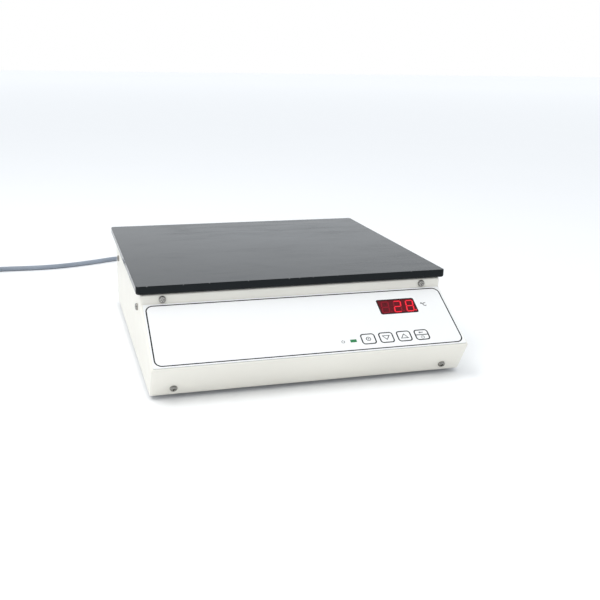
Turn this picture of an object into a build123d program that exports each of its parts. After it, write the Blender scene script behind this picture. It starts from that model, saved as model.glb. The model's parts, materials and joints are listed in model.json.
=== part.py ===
"""Slide warmer: a heated black plate on a low sheet-metal housing with a sloping panel.

Millimetres, +Z up. The origin is on the table, under the middle of the object without
its cord. The front is -Y. Every sub-part is written to parts/ as one STEP file.
"""

from build123d import *
from math import cos, pi, radians, sin, tan
import os

os.makedirs("parts", exist_ok=True)

# Overall sizes
WIDTH = 350.0  # hot plate, side to side
DEPTH = 400.0  # from the panel's nose to the plate's back edge
HEIGHT = 103.0  # from the table to the plate's top

# Hot plate
PLATE_THICK = 9.2
PLATE_CORNER = 4.0
PLATE_TOP_EDGE = 0.9
PLATE_LOW_EDGE = 2.2
NOSE_REACH = 77.0  # how far the nose stands in front of the plate
FRONT_OVERHANG = 3.6
SIDE_OVERHANG = 4.7
REAR_OVERHANG = 17.7
PLATE_GAP = 1.0  # between the plate and the housing's lip

# Housing sheet
SHEET = 1.2
BEND = 1.8  # outside radius of a fold
STRIP_HEIGHT = 11.4  # upright strip under the plate
NOSE_HEIGHT = 38.8
UNDERCUT = 20.8  # how far the lower strip leans back
FLOOR_GAP = 4.6
LIP = 8.0
REAR_FLANGE = 12.0
FIT = 0.2  # between two sheets that are screwed together

# Heater sandwich
MAT_THICK = 1.5
MAT_MARGIN = 4.0  # inside the insulation's edge
MAT_CORNER = 6.0
TRAY_SHEET = 1.2
TRAY_DROP = 29.0  # from the plate's underside to the tray's underside
BOARD_MARGIN = 2.0  # insulation to the lip's inner edge
SPACER_RADIUS = 7.0
SPACER_SPREAD_X = 130.0
SPACER_ROWS = (-85.0, 145.0)
SPACER_ROOM = 0.5
SCREW_BITE = 6.0
SENSOR_BITE = 4.0
BORE_SPARE = 0.5  # a blind hole, past its screw's end
SENSOR_X = -20.0
CUTOUT_X = 45.0
SENSOR_Y = 30.0
SENSOR_SCREW = (6.0, 3.4)  # beside and in front of the sensor's middle
CUTOUT_SCREW_X = 12.0
SENSOR_WINDOW = (26.0, 18.0)  # in the heater mat
CUTOUT_WINDOW = (36.0, 20.0)
WINDOW_STEP = 4.0  # how much larger the insulation's windows are
LEAD_HOLE = 12.0  # radius, in the tray under the sensor and the cutout

# Fasteners
M4 = 2.0
M4_HEAD = 3.9
M4_HEAD_HIGH = 2.6
M4_NUT_FLATS = 7.0
M4_NUT_HIGH = 3.2
M4_LENGTH = 8.0
M3 = 1.5
M3_HEAD = 2.75
M3_HEAD_HIGH = 2.2
M3_NUT_FLATS = 5.5
M3_NUT_HIGH = 2.4
THREAD_FIT = 0.05
CLEAR = 0.2  # round a shank in a sheet
THROUGH = 1.0  # how far a cut runs past what it cuts
OPEN = 20.0  # the same, for the large openings

# Where the case screws stand
STRIP_SCREW_X = 147.5
STRIP_SCREW_DROP = 6.5  # under the plate
NOSE_SCREW_X = 147.0
NOSE_SCREW_DOWN = 30.0  # along the lower strip
SIDE_SCREW_DROP = 22.3  # under the plate
SIDE_SCREW_FRONT = 32.0  # behind the upright strip
SIDE_SCREW_REAR = 39.3  # in front of the rear face
REAR_SCREW_ROWS = (22.0, 55.0)
SILL_SCREW_X = 120.0
SILL_SCREW_RISE = 9.0

# Sloping panel, as distances across from the middle and down from its top fold
OVERLAY_SIDE = 2.0
OVERLAY_TOP = 1.1
OVERLAY_FOOT = 2.0
OVERLAY_CORNER = 1.5
OVERLAY_THICK = 0.4
MEMBRANE_THICK = 0.6
WINDOW_X = 108.6
WINDOW_DOWN = 28.2
WINDOW_WIDE = 44.0
WINDOW_HIGH = 22.0
WINDOW_CORNER = 1.5
WINDOW_FLANGE = (3.0, 1.0)  # how far it reaches behind the sheet, and its thickness
WINDOW_SUNK = 0.1  # its face, below the foil's face
LED_X = 43.15
LED_DOWN = 74.35
LED_WIDE = 6.9
LED_HIGH = 3.9
LED_ROOM = 0.1
TAIL_X = 20.0
TAIL_DOWN = 60.0
TAIL_WIDE = 16.0
TAIL_THICK = 0.4
TAIL_SLOT = (18.0, 5.0)  # in the housing, for the membrane's tail

# Display board, behind the slope
SCREEN_DEEP = 8.0
SCREEN_GAP = 0.3
PCB = 1.6
SCREEN_BOARD_X = 86.0
SCREEN_BOARD_DOWN = 46.5
SCREEN_BOARD_WIDE = 116.0
SCREEN_BOARD_HIGH = 72.0
STUD_INSET = 5.0
STUD_SPARE = 1.5
SCREEN_ROOM = 1.0  # how much larger than the window the digits' block is
SPACER_WALL = 1.3

# Base pan, feet and control board
PAN_SHEET = 1.0
PAN_FLANGE = 12.0
PAN_FRONT_FLANGE = 18.0
PAN_REAR_FLANGE = 16.0
FOOT_RADIUS = 10.0
FOOT_X = 136.0
FOOT_FRONT_Y = -146.0
FOOT_REAR_Y = 140.0
FOOT_WEB = 1.6
FOOT_EDGE = 0.8
FOOT_HEAD_ROOM = 0.4
BOARD_X = 35.0
BOARD_Y = 40.0
BOARD_WIDE = 150.0
BOARD_DEEP = 110.0
BOARD_STAND = 8.0
BOARD_INSET = 6.0
VENT_LENGTH = 30.0
VENT_WIDE = 3.0
VENT_PITCH = 9.0
PAN_VENTS = ((-95.0, 20.0), (-95.0, -80.0))
PAN_VENT_ROWS = 7
REAR_VENT_X = 90.0
REAR_VENT_COLUMNS = 9

# Rear panel fittings
SOCKET_Z = 34.0
INLET_X = -82.0
SWITCH_X = -36.0
FUSE_X = -6.0
INLET_FLANGE = (50.0, 24.0, 3.0)
INLET_CORNER = 3.0
INLET_SCREW_LENGTH = 10.0
INLET_BARREL = (27.0, 19.8, 18.0)
INLET_SCREW_X = 20.0
NOSE_WIDE = 24.0  # connector nose
NOSE_HIGH = 16.2
NOSE_CHAMFER = 4.6
NOSE_ROOM = 0.3
NOSE_LENGTH = 16.5
CAVITY_DEEP = 17.5
CAVITY_FLOOR = 3.5
PIN_SIZE = (2.0, 4.0)
PIN_PLACES = ((-7.0, -2.0), (7.0, -2.0), (0.0, 2.0))
PIN_TAB = 8.0
PIN_TIP = 0.5
SWITCH_BEZEL = (25.0, 31.0, 2.2)
SWITCH_CORNER = 2.0
TRIM_EDGE = 0.8  # rounding of the switch's frame and the fuse's cap
SWITCH_BARREL = (21.8, 26.8, 20.0)
SWITCH_MOUTH = (18.6, 25.0)
SWITCH_CAVITY = 14.0
ROCKER_ROOM = 0.25
ROCKER_TILT = 10.0
ROCKER_PIVOT = 2.5  # pivot behind the panel's face
ROCKER_PIN = 1.2
ROCKER_PIN_FIT = 0.08
ROCKER_PIN_REACH = 1.2
CUTOUT_ROOM = 0.3
FUSE_RADIUS = 6.0
FUSE_FLANGE = 8.0
FUSE_DEEP = 30.0
FUSE_BORE = 3.6
FUSE_LINK = (2.6, 20.0)
FUSE_SPIGOT = 8.0
FUSE_FLANGE_HIGH = 2.5
FUSE_NUT_HIGH = 3.0
FUSE_CAP = (5.6, 5.0)
FUSE_CAP_SLOT = (1.4, 3.0)

# Cord
CORD = 7.0  # diameter
GRIP = (28.0, 20.0, 36.0)
GRIP_WAIST = (26.0, 18.0, 19.8)
GRIP_NECK = (15.0, 13.0)
GRIP_CORNER = 4.0
GRIP_NECK_CORNER = 6.0
RELIEF = 24.0
RELIEF_ROOT = 6.2
RELIEF_TIP = 4.6
SOCKET_ROOM = 1.0  # the connector's slots, over the pins
COIL_X = -392.0
COIL_Y = 352.0
COIL_INNER_TURN = 35.0
COIL_OUTER_TURN = 42.0
COIL_TOP_TURN = 38.5
COIL_HIGH = 20.1
TIE_THICK = 1.2
TIE_WIDE = 12.0
TIE_ANGLE = 250.0
TIE_CORNER = 4.0
TIE_ROOM = (1.2, 0.2)  # across and above the coil's turns
TOP_TURN_RISE = 60.0  # where the last turn lies, round the one below it
TAIL_RUN = 34.0
TAIL_BEND = 200.0
PLUG_RADIUS = 18.5
PLUG_BODY = 36.0
PLUG_RELIEF = 25.0
PLUG_RELIEF_RADII = (5.0, 7.0)
PLUG_SHOULDERS = ((12.5, 3.0), (15.5, 16.0), (18.5, 20.0))  # radius, and place behind the relief
PLUG_PIN = (2.4, 19.0)
PLUG_PIN_PITCH = 19.0
PLUG_PIN_SEAT = 12.0
PLUG_PIN_TIP = 1.2
PLUG_EARTH = (9.5, 2.6)  # the earth hole's place and radius

# Places that follow from the sizes above
FRONT_Y = -DEPTH / 2
BACK_Y = DEPTH / 2
PLATE_FRONT_Y = FRONT_Y + NOSE_REACH
PLATE_DEPTH = DEPTH - NOSE_REACH
PLATE_LOW = HEIGHT - PLATE_THICK
STRIP_Y = PLATE_FRONT_Y + FRONT_OVERHANG
BEND_Z = PLATE_LOW - STRIP_HEIGHT
SILL_Y = FRONT_Y + UNDERCUT
REAR_Y = BACK_Y - REAR_OVERHANG
HALF = WIDTH / 2 - SIDE_OVERHANG
TOP_Z = PLATE_LOW - PLATE_GAP
PAN_TOP = FLOOR_GAP + PAN_SHEET
TRAY_LOW = PLATE_LOW - TRAY_DROP
TRAY_TOP = TRAY_LOW + TRAY_SHEET
MAT_LOW = PLATE_LOW - MAT_THICK
INNER_HALF = HALF - SHEET - FIT
INNER_REAR = REAR_Y - 2 * SHEET - FIT
REAR_LIP = 10.0

SLOPE_RUN = Vector(0, FRONT_Y - STRIP_Y, NOSE_HEIGHT - BEND_Z)
SLOPE_LENGTH = SLOPE_RUN.length
SILL_RUN = Vector(0, SILL_Y - FRONT_Y, FLOOR_GAP - NOSE_HEIGHT)
SLOPE = Plane(
    origin=(0, STRIP_Y, BEND_Z), x_dir=(1, 0, 0), z_dir=Vector(1, 0, 0).cross(SLOPE_RUN * -1)
)
SILL = Plane(
    origin=(0, FRONT_Y, NOSE_HEIGHT), x_dir=(1, 0, 0), z_dir=Vector(1, 0, 0).cross(SILL_RUN * -1)
)
STRIP = Plane(origin=(0, STRIP_Y, PLATE_LOW), x_dir=(1, 0, 0), z_dir=(0, -1, 0))
LEFT = Plane(origin=(-HALF, 0, PLATE_LOW), x_dir=(0, -1, 0), z_dir=(-1, 0, 0))
RIGHT = Plane(origin=(HALF, 0, PLATE_LOW), x_dir=(0, 1, 0), z_dir=(1, 0, 0))
REAR = Plane(origin=(0, REAR_Y, 0), x_dir=(-1, 0, 0), z_dir=(0, 1, 0))


def rear_plane(x):
    """A plane on the rear panel's face, at a fitting's centre, looking out."""
    return Plane(origin=(x, REAR_Y, SOCKET_Z), x_dir=(-1, 0, 0), z_dir=(0, 1, 0))


def on(plane, *points):
    """Places on a plane, from its own coordinates."""
    return [plane.location * Location(point) for point in points]


def finish(shape, label):
    """Names a finished piece and writes it."""
    shape.label = label
    export_step(shape, f"parts/{label}.step")


def copies(piece, places):
    """Separate copies of one piece, one at each place."""
    with BuildPart() as group:
        with Locations(*places):
            add(piece)
    return group.part


def drill(places, radius, depth):
    """Cuts a hole through the wall at each place, inside a part's own block."""
    with Locations(*places):
        Cylinder(radius, 2 * depth, mode=Mode.SUBTRACT)


def pan_screw(radius, head, head_high, length):
    """A pan-head screw with a cross recess. Its head sits on z = 0, its shank points down."""
    slot = head * 1.15
    with BuildPart() as screw:
        Cylinder(head, head_high, align=(Align.CENTER, Align.CENTER, Align.MIN))
        fillet(screw.edges().group_by(Axis.Z)[-1], head_high * 0.6)
        Cylinder(radius, length, align=(Align.CENTER, Align.CENTER, Align.MAX))
        with Locations((0, 0, head_high)):
            for turn in (0, 90):
                Box(
                    slot, head * 0.26, head_high, rotation=(0, 0, turn), mode=Mode.SUBTRACT
                )
    return screw.part


def hex_nut(bore, flats, high):
    """A hexagon nut that stands on z = 0."""
    with BuildPart() as nut:
        with BuildSketch():
            RegularPolygon(flats / 2, 6, major_radius=False)
            Circle(bore + THREAD_FIT, mode=Mode.SUBTRACT)
        extrude(amount=high)
    return nut.part


def wire(points, radius, bend):
    """A wire along straight runs with rounded corners."""
    with BuildPart() as lead:
        with BuildLine() as path:
            FilletPolyline(*points, radius=bend)
        with BuildSketch(path.line ^ 0):
            Circle(radius)
        sweep()
    return lead.part


# Screws and nuts, and the places where they stand
m4_screw = pan_screw(M4, M4_HEAD, M4_HEAD_HIGH, M4_LENGTH)
m4_nut = hex_nut(M4, M4_NUT_FLATS, M4_NUT_HIGH)
m3_nut = hex_nut(M3, M3_NUT_FLATS, M3_NUT_HIGH)

strip_places = on(
    STRIP, (-STRIP_SCREW_X, -STRIP_SCREW_DROP, 0), (STRIP_SCREW_X, -STRIP_SCREW_DROP, 0)
)
nose_places = on(SILL, (-NOSE_SCREW_X, -NOSE_SCREW_DOWN, 0), (NOSE_SCREW_X, -NOSE_SCREW_DOWN, 0))
side_front_y = STRIP_Y + SIDE_SCREW_FRONT
side_rear_y = REAR_Y - SIDE_SCREW_REAR
side_places = on(LEFT, (-side_front_y, -SIDE_SCREW_DROP, 0), (-side_rear_y, -SIDE_SCREW_DROP, 0))
side_places += on(RIGHT, (side_front_y, -SIDE_SCREW_DROP, 0), (side_rear_y, -SIDE_SCREW_DROP, 0))
rear_screw_x = HALF - SHEET - (REAR_FLANGE - SHEET) / 2
rear_places = on(REAR, *[(x, z, 0) for x in (-rear_screw_x, rear_screw_x) for z in REAR_SCREW_ROWS])
sill_z = FLOOR_GAP + SILL_SCREW_RISE
sill_places = on(REAR, (-SILL_SCREW_X, sill_z, 0), (SILL_SCREW_X, sill_z, 0))
spacer_places = [
    Location((x, y, 0)) for x in (-SPACER_SPREAD_X, 0, SPACER_SPREAD_X) for y in SPACER_ROWS
]


def deeper(places, depth):
    """The same places, moved inwards along their own axes."""
    return [place * Location((0, 0, -depth)) for place in places]


# Hot plate: one black slab with blind threaded holes underneath
sensor_screw_places = [
    Location((SENSOR_X + side * SENSOR_SCREW[0], SENSOR_Y - SENSOR_SCREW[1], PLATE_LOW))
    for side in (-1, 1)
]
cutout_screw_places = [
    Location((CUTOUT_X + side * CUTOUT_SCREW_X, SENSOR_Y, PLATE_LOW)) for side in (-1, 1)
]
with BuildPart() as hot_plate:
    with BuildSketch(Plane.XY.offset(PLATE_LOW)):
        with Locations((0, PLATE_FRONT_Y + PLATE_DEPTH / 2)):
            RectangleRounded(WIDTH, PLATE_DEPTH, PLATE_CORNER)
    extrude(amount=PLATE_THICK)
    fillet(hot_plate.faces().sort_by(Axis.Z)[-1].edges(), PLATE_TOP_EDGE)
    fillet(hot_plate.faces().sort_by(Axis.Z)[0].edges(), PLATE_LOW_EDGE)
    drill(
        [place * Location((0, 0, PLATE_LOW)) for place in spacer_places],
        M4 + THREAD_FIT,
        SCREW_BITE + BORE_SPARE,
    )
    drill(sensor_screw_places + cutout_screw_places, M3 + THREAD_FIT, SENSOR_BITE + BORE_SPARE)
finish(hot_plate.part, "hot_plate")

# Heater mat: silicone rubber, bonded under the plate inside the lips
INSULATION_FRONT = STRIP_Y + LIP + BOARD_MARGIN
INSULATION_REAR = REAR_Y - REAR_LIP - BOARD_MARGIN
INSULATION_HALF = HALF - LIP - BOARD_MARGIN
INSULATION_DEEP = INSULATION_REAR - INSULATION_FRONT
INSULATION_Y = (INSULATION_FRONT + INSULATION_REAR) / 2
with BuildPart() as heater_mat:
    with BuildSketch(Plane.XY.offset(MAT_LOW)):
        with Locations((0, INSULATION_Y)):
            RectangleRounded(
                2 * (INSULATION_HALF - MAT_MARGIN), INSULATION_DEEP - 2 * MAT_MARGIN, MAT_CORNER
            )
        with Locations(*spacer_places):
            Circle(SPACER_RADIUS + SPACER_ROOM, mode=Mode.SUBTRACT)
        with Locations((SENSOR_X, SENSOR_Y)):
            Rectangle(*SENSOR_WINDOW, mode=Mode.SUBTRACT)
        with Locations((CUTOUT_X, SENSOR_Y)):
            Rectangle(*CUTOUT_WINDOW, mode=Mode.SUBTRACT)
    extrude(amount=MAT_THICK)
finish(heater_mat.part, "heater_mat")

# Insulation: a mineral-fibre board that fills the tray under the mat
with BuildPart() as insulation_board:
    with BuildSketch(Plane.XY.offset(TRAY_TOP)):
        with Locations((0, INSULATION_Y)):
            Rectangle(2 * INSULATION_HALF, INSULATION_DEEP)
        with Locations(*spacer_places):
            Circle(SPACER_RADIUS + SPACER_ROOM, mode=Mode.SUBTRACT)
        with Locations((SENSOR_X, SENSOR_Y)):
            Rectangle(*[size + WINDOW_STEP for size in SENSOR_WINDOW], mode=Mode.SUBTRACT)
        with Locations((CUTOUT_X, SENSOR_Y)):
            Rectangle(*[size + WINDOW_STEP for size in CUTOUT_WINDOW], mode=Mode.SUBTRACT)
    extrude(amount=MAT_LOW - TRAY_TOP)
finish(insulation_board.part, "insulation_board")

# Carrier tray: holds the sandwich and is screwed to the housing's walls
TRAY_FRONT = STRIP_Y + SHEET + FIT
with BuildPart() as carrier_tray:
    with BuildSketch(Plane.XY.offset(TRAY_LOW)):
        with Locations((0, (TRAY_FRONT + INNER_REAR) / 2)):
            Rectangle(2 * INNER_HALF, INNER_REAR - TRAY_FRONT)
    extrude(amount=TOP_Z - SHEET - FIT - TRAY_LOW)
    with BuildSketch(Plane.XY.offset(TRAY_TOP)):
        with Locations((0, (TRAY_FRONT + INNER_REAR) / 2)):
            Rectangle(
                2 * (INNER_HALF - TRAY_SHEET), INNER_REAR - TRAY_FRONT - 2 * TRAY_SHEET
            )
    extrude(amount=TOP_Z, mode=Mode.SUBTRACT)
    through_tray = TRAY_SHEET + THROUGH
    drill([place * Location((0, 0, TRAY_LOW)) for place in spacer_places], M4 + CLEAR, through_tray)
    drill(
        [Location((x, SENSOR_Y, TRAY_LOW)) for x in (SENSOR_X, CUTOUT_X)], LEAD_HOLE, through_tray
    )
    drill(strip_places + side_places, M4 + CLEAR, SHEET + FIT + through_tray)
finish(carrier_tray.part, "carrier_tray")

# Ceramic spacers between tray and plate, with the screws that hold the plate down
with BuildPart() as plate_spacers:
    with BuildSketch(Plane.XY.offset(TRAY_TOP)):
        with Locations(*spacer_places):
            Circle(SPACER_RADIUS)
            Circle(M4 + CLEAR, mode=Mode.SUBTRACT)
    extrude(amount=PLATE_LOW - TRAY_TOP)
finish(plate_spacers.part, "plate_spacers")

plate_screw = pan_screw(M4, M4_HEAD, M4_HEAD_HIGH, TRAY_DROP + SCREW_BITE)
under_tray = [place * Location((0, 0, TRAY_LOW), (180, 0, 0)) for place in spacer_places]
finish(copies(plate_screw, under_tray), "plate_screws")

# Temperature sensor in its block, and the bimetal cutout, both screwed under the plate
SENSOR_BLOCK = (22.0, 14.0, 8.0)
PROBE = (2.0, 18.0)
PROBE_SIDE = 3.0  # the bore beside the block's screws
with BuildPart() as sensor_block:
    with Locations((SENSOR_X, SENSOR_Y, PLATE_LOW)):
        Box(*SENSOR_BLOCK, align=(Align.CENTER, Align.CENTER, Align.MAX))
    drill(sensor_screw_places, M3 + CLEAR, SENSOR_BLOCK[2])
    with Locations((SENSOR_X, SENSOR_Y + PROBE_SIDE, PLATE_LOW - SENSOR_BLOCK[2] / 2)):
        Cylinder(
            PROBE[0] + THREAD_FIT,
            SENSOR_BLOCK[0] + 2 * THROUGH,
            rotation=(0, 90, 0),
            mode=Mode.SUBTRACT,
        )
finish(sensor_block.part, "sensor_block")

with BuildPart() as temperature_sensor:
    with Locations((SENSOR_X, SENSOR_Y + PROBE_SIDE, PLATE_LOW - SENSOR_BLOCK[2] / 2)):
        Cylinder(PROBE[0], PROBE[1], rotation=(0, 90, 0))
    fillet(temperature_sensor.edges().group_by(Axis.X)[0], PROBE[0] * 0.4)
finish(temperature_sensor.part, "temperature_sensor")

sensor_screw = pan_screw(M3, M3_HEAD, M3_HEAD_HIGH, SENSOR_BLOCK[2] + SENSOR_BITE)
under_block = [
    place * Location((0, 0, -SENSOR_BLOCK[2]), (180, 0, 0)) for place in sensor_screw_places
]
finish(copies(sensor_screw, under_block), "sensor_screws")

CUTOUT_EAR = 1.0
CUTOUT_EARS = (32.0, 10.0)
CUTOUT_RIM = 8.0
CUTOUT_CAN = (7.8, 9.0)  # radius and depth
CUTOUT_TAB = (0.8, 6.3, 8.0)
CUTOUT_TAB_X = 4.0
cutout_low = PLATE_LOW - CUTOUT_EAR - CUTOUT_CAN[1]
with BuildPart() as thermal_cutout:
    with BuildSketch(Plane.XY.offset(PLATE_LOW - CUTOUT_EAR)):
        with Locations((CUTOUT_X, SENSOR_Y)):
            SlotOverall(*CUTOUT_EARS)
            Circle(CUTOUT_RIM)
        with Locations(*cutout_screw_places):
            Circle(M3 + CLEAR, mode=Mode.SUBTRACT)
    extrude(amount=CUTOUT_EAR)
    with BuildSketch(Plane.XY.offset(PLATE_LOW - CUTOUT_EAR)):
        with Locations((CUTOUT_X, SENSOR_Y)):
            Circle(CUTOUT_CAN[0])
    extrude(amount=-CUTOUT_CAN[1])
    with Locations(*[(CUTOUT_X + side * CUTOUT_TAB_X, SENSOR_Y, cutout_low) for side in (-1, 1)]):
        Box(*CUTOUT_TAB, align=(Align.CENTER, Align.CENTER, Align.MAX))
finish(thermal_cutout.part, "thermal_cutout")

cutout_screw = pan_screw(M3, M3_HEAD, M3_HEAD_HIGH, CUTOUT_EAR + SENSOR_BITE)
under_ear = [
    place * Location((0, 0, -CUTOUT_EAR), (180, 0, 0)) for place in cutout_screw_places
]
finish(copies(cutout_screw, under_ear), "cutout_screws")


# Housing: strip, slope, lower strip and sides in one folded and welded sheet
def body_block(inset, low, rear):
    """The housing's outside, or with an inset its inside, down to low and back to rear."""
    foot_y = SILL_Y + (FLOOR_GAP - low) * UNDERCUT / (NOSE_HEIGHT - FLOOR_GAP)
    with BuildPart() as block:
        with BuildSketch(Plane.YZ):
            with BuildLine():
                Polyline(
                    (STRIP_Y, TOP_Z),
                    (STRIP_Y, BEND_Z),
                    (FRONT_Y, NOSE_HEIGHT),
                    (foot_y, low),
                    (rear, low),
                    (rear, TOP_Z),
                    close=True,
                )
            make_face()
            if inset:
                offset(amount=-inset, kind=Kind.INTERSECTION)
        extrude(amount=HALF - inset, both=True)
        ends = block.faces().sort_by(Axis.Y)[-1].edges() + block.faces().sort_by(Axis.Z)[0].edges()
        fillet(block.edges() - ends, BEND - inset)
    return block.part


window_place = on(SLOPE, (WINDOW_X, -WINDOW_DOWN, 0))
led_place = on(SLOPE, (LED_X, -LED_DOWN, 0))
tail_place = on(SLOPE, (TAIL_X, -TAIL_DOWN, 0))
inside = body_block(SHEET, FLOOR_GAP - OPEN, REAR_Y - SHEET)
with BuildPart() as housing:
    add(body_block(0, FLOOR_GAP, REAR_Y))
    add(inside, mode=Mode.SUBTRACT)
    with BuildSketch(Plane.XY.offset(TOP_Z - SHEET - THROUGH)):
        with Locations((0, (STRIP_Y + LIP + REAR_Y + OPEN) / 2)):
            Rectangle(2 * (HALF - LIP), REAR_Y + OPEN - STRIP_Y - LIP)
    extrude(amount=OPEN, mode=Mode.SUBTRACT)
    with BuildSketch(Plane.XY.offset(FLOOR_GAP - THROUGH)):
        with Locations((0, REAR_Y)):
            Rectangle(2 * (HALF - REAR_FLANGE), 4 * SHEET + 2 * THROUGH)
    extrude(amount=TOP_Z - SHEET - FLOOR_GAP + THROUGH, mode=Mode.SUBTRACT)
    with BuildSketch(Plane.XY.offset(FLOOR_GAP - THROUGH)):
        with Locations((0, REAR_Y)):
            Rectangle(2 * (HALF - SHEET), 2 * SHEET)
    extrude(amount=HEIGHT, mode=Mode.SUBTRACT)
    drill(strip_places + nose_places + side_places, M4 + CLEAR, SHEET + THROUGH)
    drill(rear_places, M4 + CLEAR, 2 * SHEET + THROUGH)
    with Locations(*window_place):
        Box(WINDOW_WIDE + 2 * FIT, WINDOW_HIGH + 2 * FIT, 4 * SHEET, mode=Mode.SUBTRACT)
    with Locations(*led_place):
        Box(LED_WIDE + 2 * FIT, LED_HIGH + 2 * FIT, 4 * SHEET, mode=Mode.SUBTRACT)
    with Locations(*tail_place):
        Box(*TAIL_SLOT, 4 * SHEET, mode=Mode.SUBTRACT)
finish(housing.part, "housing")

# Keypad: a circuit membrane with its tail, under a printed foil
overlay_high = SLOPE_LENGTH - OVERLAY_TOP - OVERLAY_FOOT
foil_face = MEMBRANE_THICK + OVERLAY_THICK


def panel_openings(room):
    """Cuts the display's and the LED's openings into a foil's sketch on the slope."""
    with Locations((WINDOW_X, -WINDOW_DOWN)):
        RectangleRounded(
            WINDOW_WIDE + 2 * room, WINDOW_HIGH + 2 * room, WINDOW_CORNER, mode=Mode.SUBTRACT
        )
    with Locations((LED_X, -LED_DOWN)):
        Rectangle(LED_WIDE + 2 * room, LED_HIGH + 2 * room, mode=Mode.SUBTRACT)


with BuildPart() as keypad_membrane:
    with BuildSketch(SLOPE):
        with Locations((0, -OVERLAY_TOP - overlay_high / 2)):
            RectangleRounded(2 * (HALF - OVERLAY_SIDE), overlay_high, OVERLAY_CORNER)
        panel_openings(LED_ROOM)
    extrude(amount=MEMBRANE_THICK)
    with BuildSketch(SLOPE.offset(MEMBRANE_THICK)):
        with Locations((TAIL_X, -TAIL_DOWN)):
            Rectangle(TAIL_WIDE, TAIL_THICK)
    extrude(amount=-(MEMBRANE_THICK + SHEET + SCREEN_GAP + SCREEN_DEEP))
finish(keypad_membrane.part, "keypad_membrane")

with BuildPart() as front_overlay:
    with BuildSketch(SLOPE.offset(MEMBRANE_THICK)):
        with Locations((0, -OVERLAY_TOP - overlay_high / 2)):
            RectangleRounded(2 * (HALF - OVERLAY_SIDE), overlay_high, OVERLAY_CORNER)
        panel_openings(LED_ROOM)
    extrude(amount=OVERLAY_THICK)
finish(front_overlay.part, "front_overlay")

# Display window: a dark red filter with a flange glued behind the sheet
with BuildPart() as display_window:
    with BuildSketch(SLOPE.offset(-SHEET)):
        with Locations((WINDOW_X, -WINDOW_DOWN)):
            RectangleRounded(WINDOW_WIDE, WINDOW_HIGH, WINDOW_CORNER)
    extrude(amount=SHEET + foil_face - WINDOW_SUNK)
    with BuildSketch(SLOPE.offset(-SHEET)):
        with Locations((WINDOW_X, -WINDOW_DOWN)):
            Rectangle(WINDOW_WIDE + 2 * WINDOW_FLANGE[0], WINDOW_HIGH + 2 * WINDOW_FLANGE[0])
    extrude(amount=-WINDOW_FLANGE[1])
finish(display_window.part, "display_window")

# Display board: its parts look out through the slope, and it hangs on welded studs
board_face = SHEET + WINDOW_FLANGE[1] + SCREEN_GAP + SCREEN_DEEP
stud_spots = [
    (
        SCREEN_BOARD_X + side * (SCREEN_BOARD_WIDE / 2 - STUD_INSET),
        -SCREEN_BOARD_DOWN + rise * (SCREEN_BOARD_HIGH / 2 - STUD_INSET),
    )
    for side in (-1, 1)
    for rise in (-1, 1)
]
with BuildPart() as display_board:
    with BuildSketch(SLOPE.offset(-board_face)):
        with Locations((SCREEN_BOARD_X, -SCREEN_BOARD_DOWN)):
            Rectangle(SCREEN_BOARD_WIDE, SCREEN_BOARD_HIGH)
        with Locations(*stud_spots):
            Circle(M3 + CLEAR, mode=Mode.SUBTRACT)
    extrude(amount=-PCB)
finish(display_board.part, "display_board")

with BuildPart() as display_digits:
    with BuildSketch(SLOPE.offset(-board_face)):
        with Locations((WINDOW_X, -WINDOW_DOWN)):
            Rectangle(WINDOW_WIDE + SCREEN_ROOM, WINDOW_HIGH + SCREEN_ROOM)
    extrude(amount=SCREEN_DEEP)
finish(display_digits.part, "display_digits")

with BuildPart() as power_led:
    with BuildSketch(SLOPE.offset(-board_face)):
        with Locations((LED_X, -LED_DOWN)):
            Rectangle(LED_WIDE, LED_HIGH)
    extrude(amount=board_face + foil_face)
finish(power_led.part, "power_led")

stud_end = board_face + PCB + M3_NUT_HIGH + STUD_SPARE
with BuildPart() as display_studs:
    with BuildSketch(SLOPE.offset(-SHEET)):
        with Locations(*stud_spots):
            Circle(M3)
    extrude(amount=-(stud_end - SHEET))
finish(display_studs.part, "display_studs")

with BuildPart() as display_spacers:
    with BuildSketch(SLOPE.offset(-SHEET)):
        with Locations(*stud_spots):
            Circle(M3 + THREAD_FIT + SPACER_WALL)
            Circle(M3 + THREAD_FIT, mode=Mode.SUBTRACT)
    extrude(amount=-(board_face - SHEET))
finish(display_spacers.part, "display_spacers")

nut_depth = board_face + PCB + M3_NUT_HIGH
display_nut_places = on(SLOPE, *[(x, y, -nut_depth) for x, y in stud_spots])
finish(copies(m3_nut, display_nut_places), "display_nuts")

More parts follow.
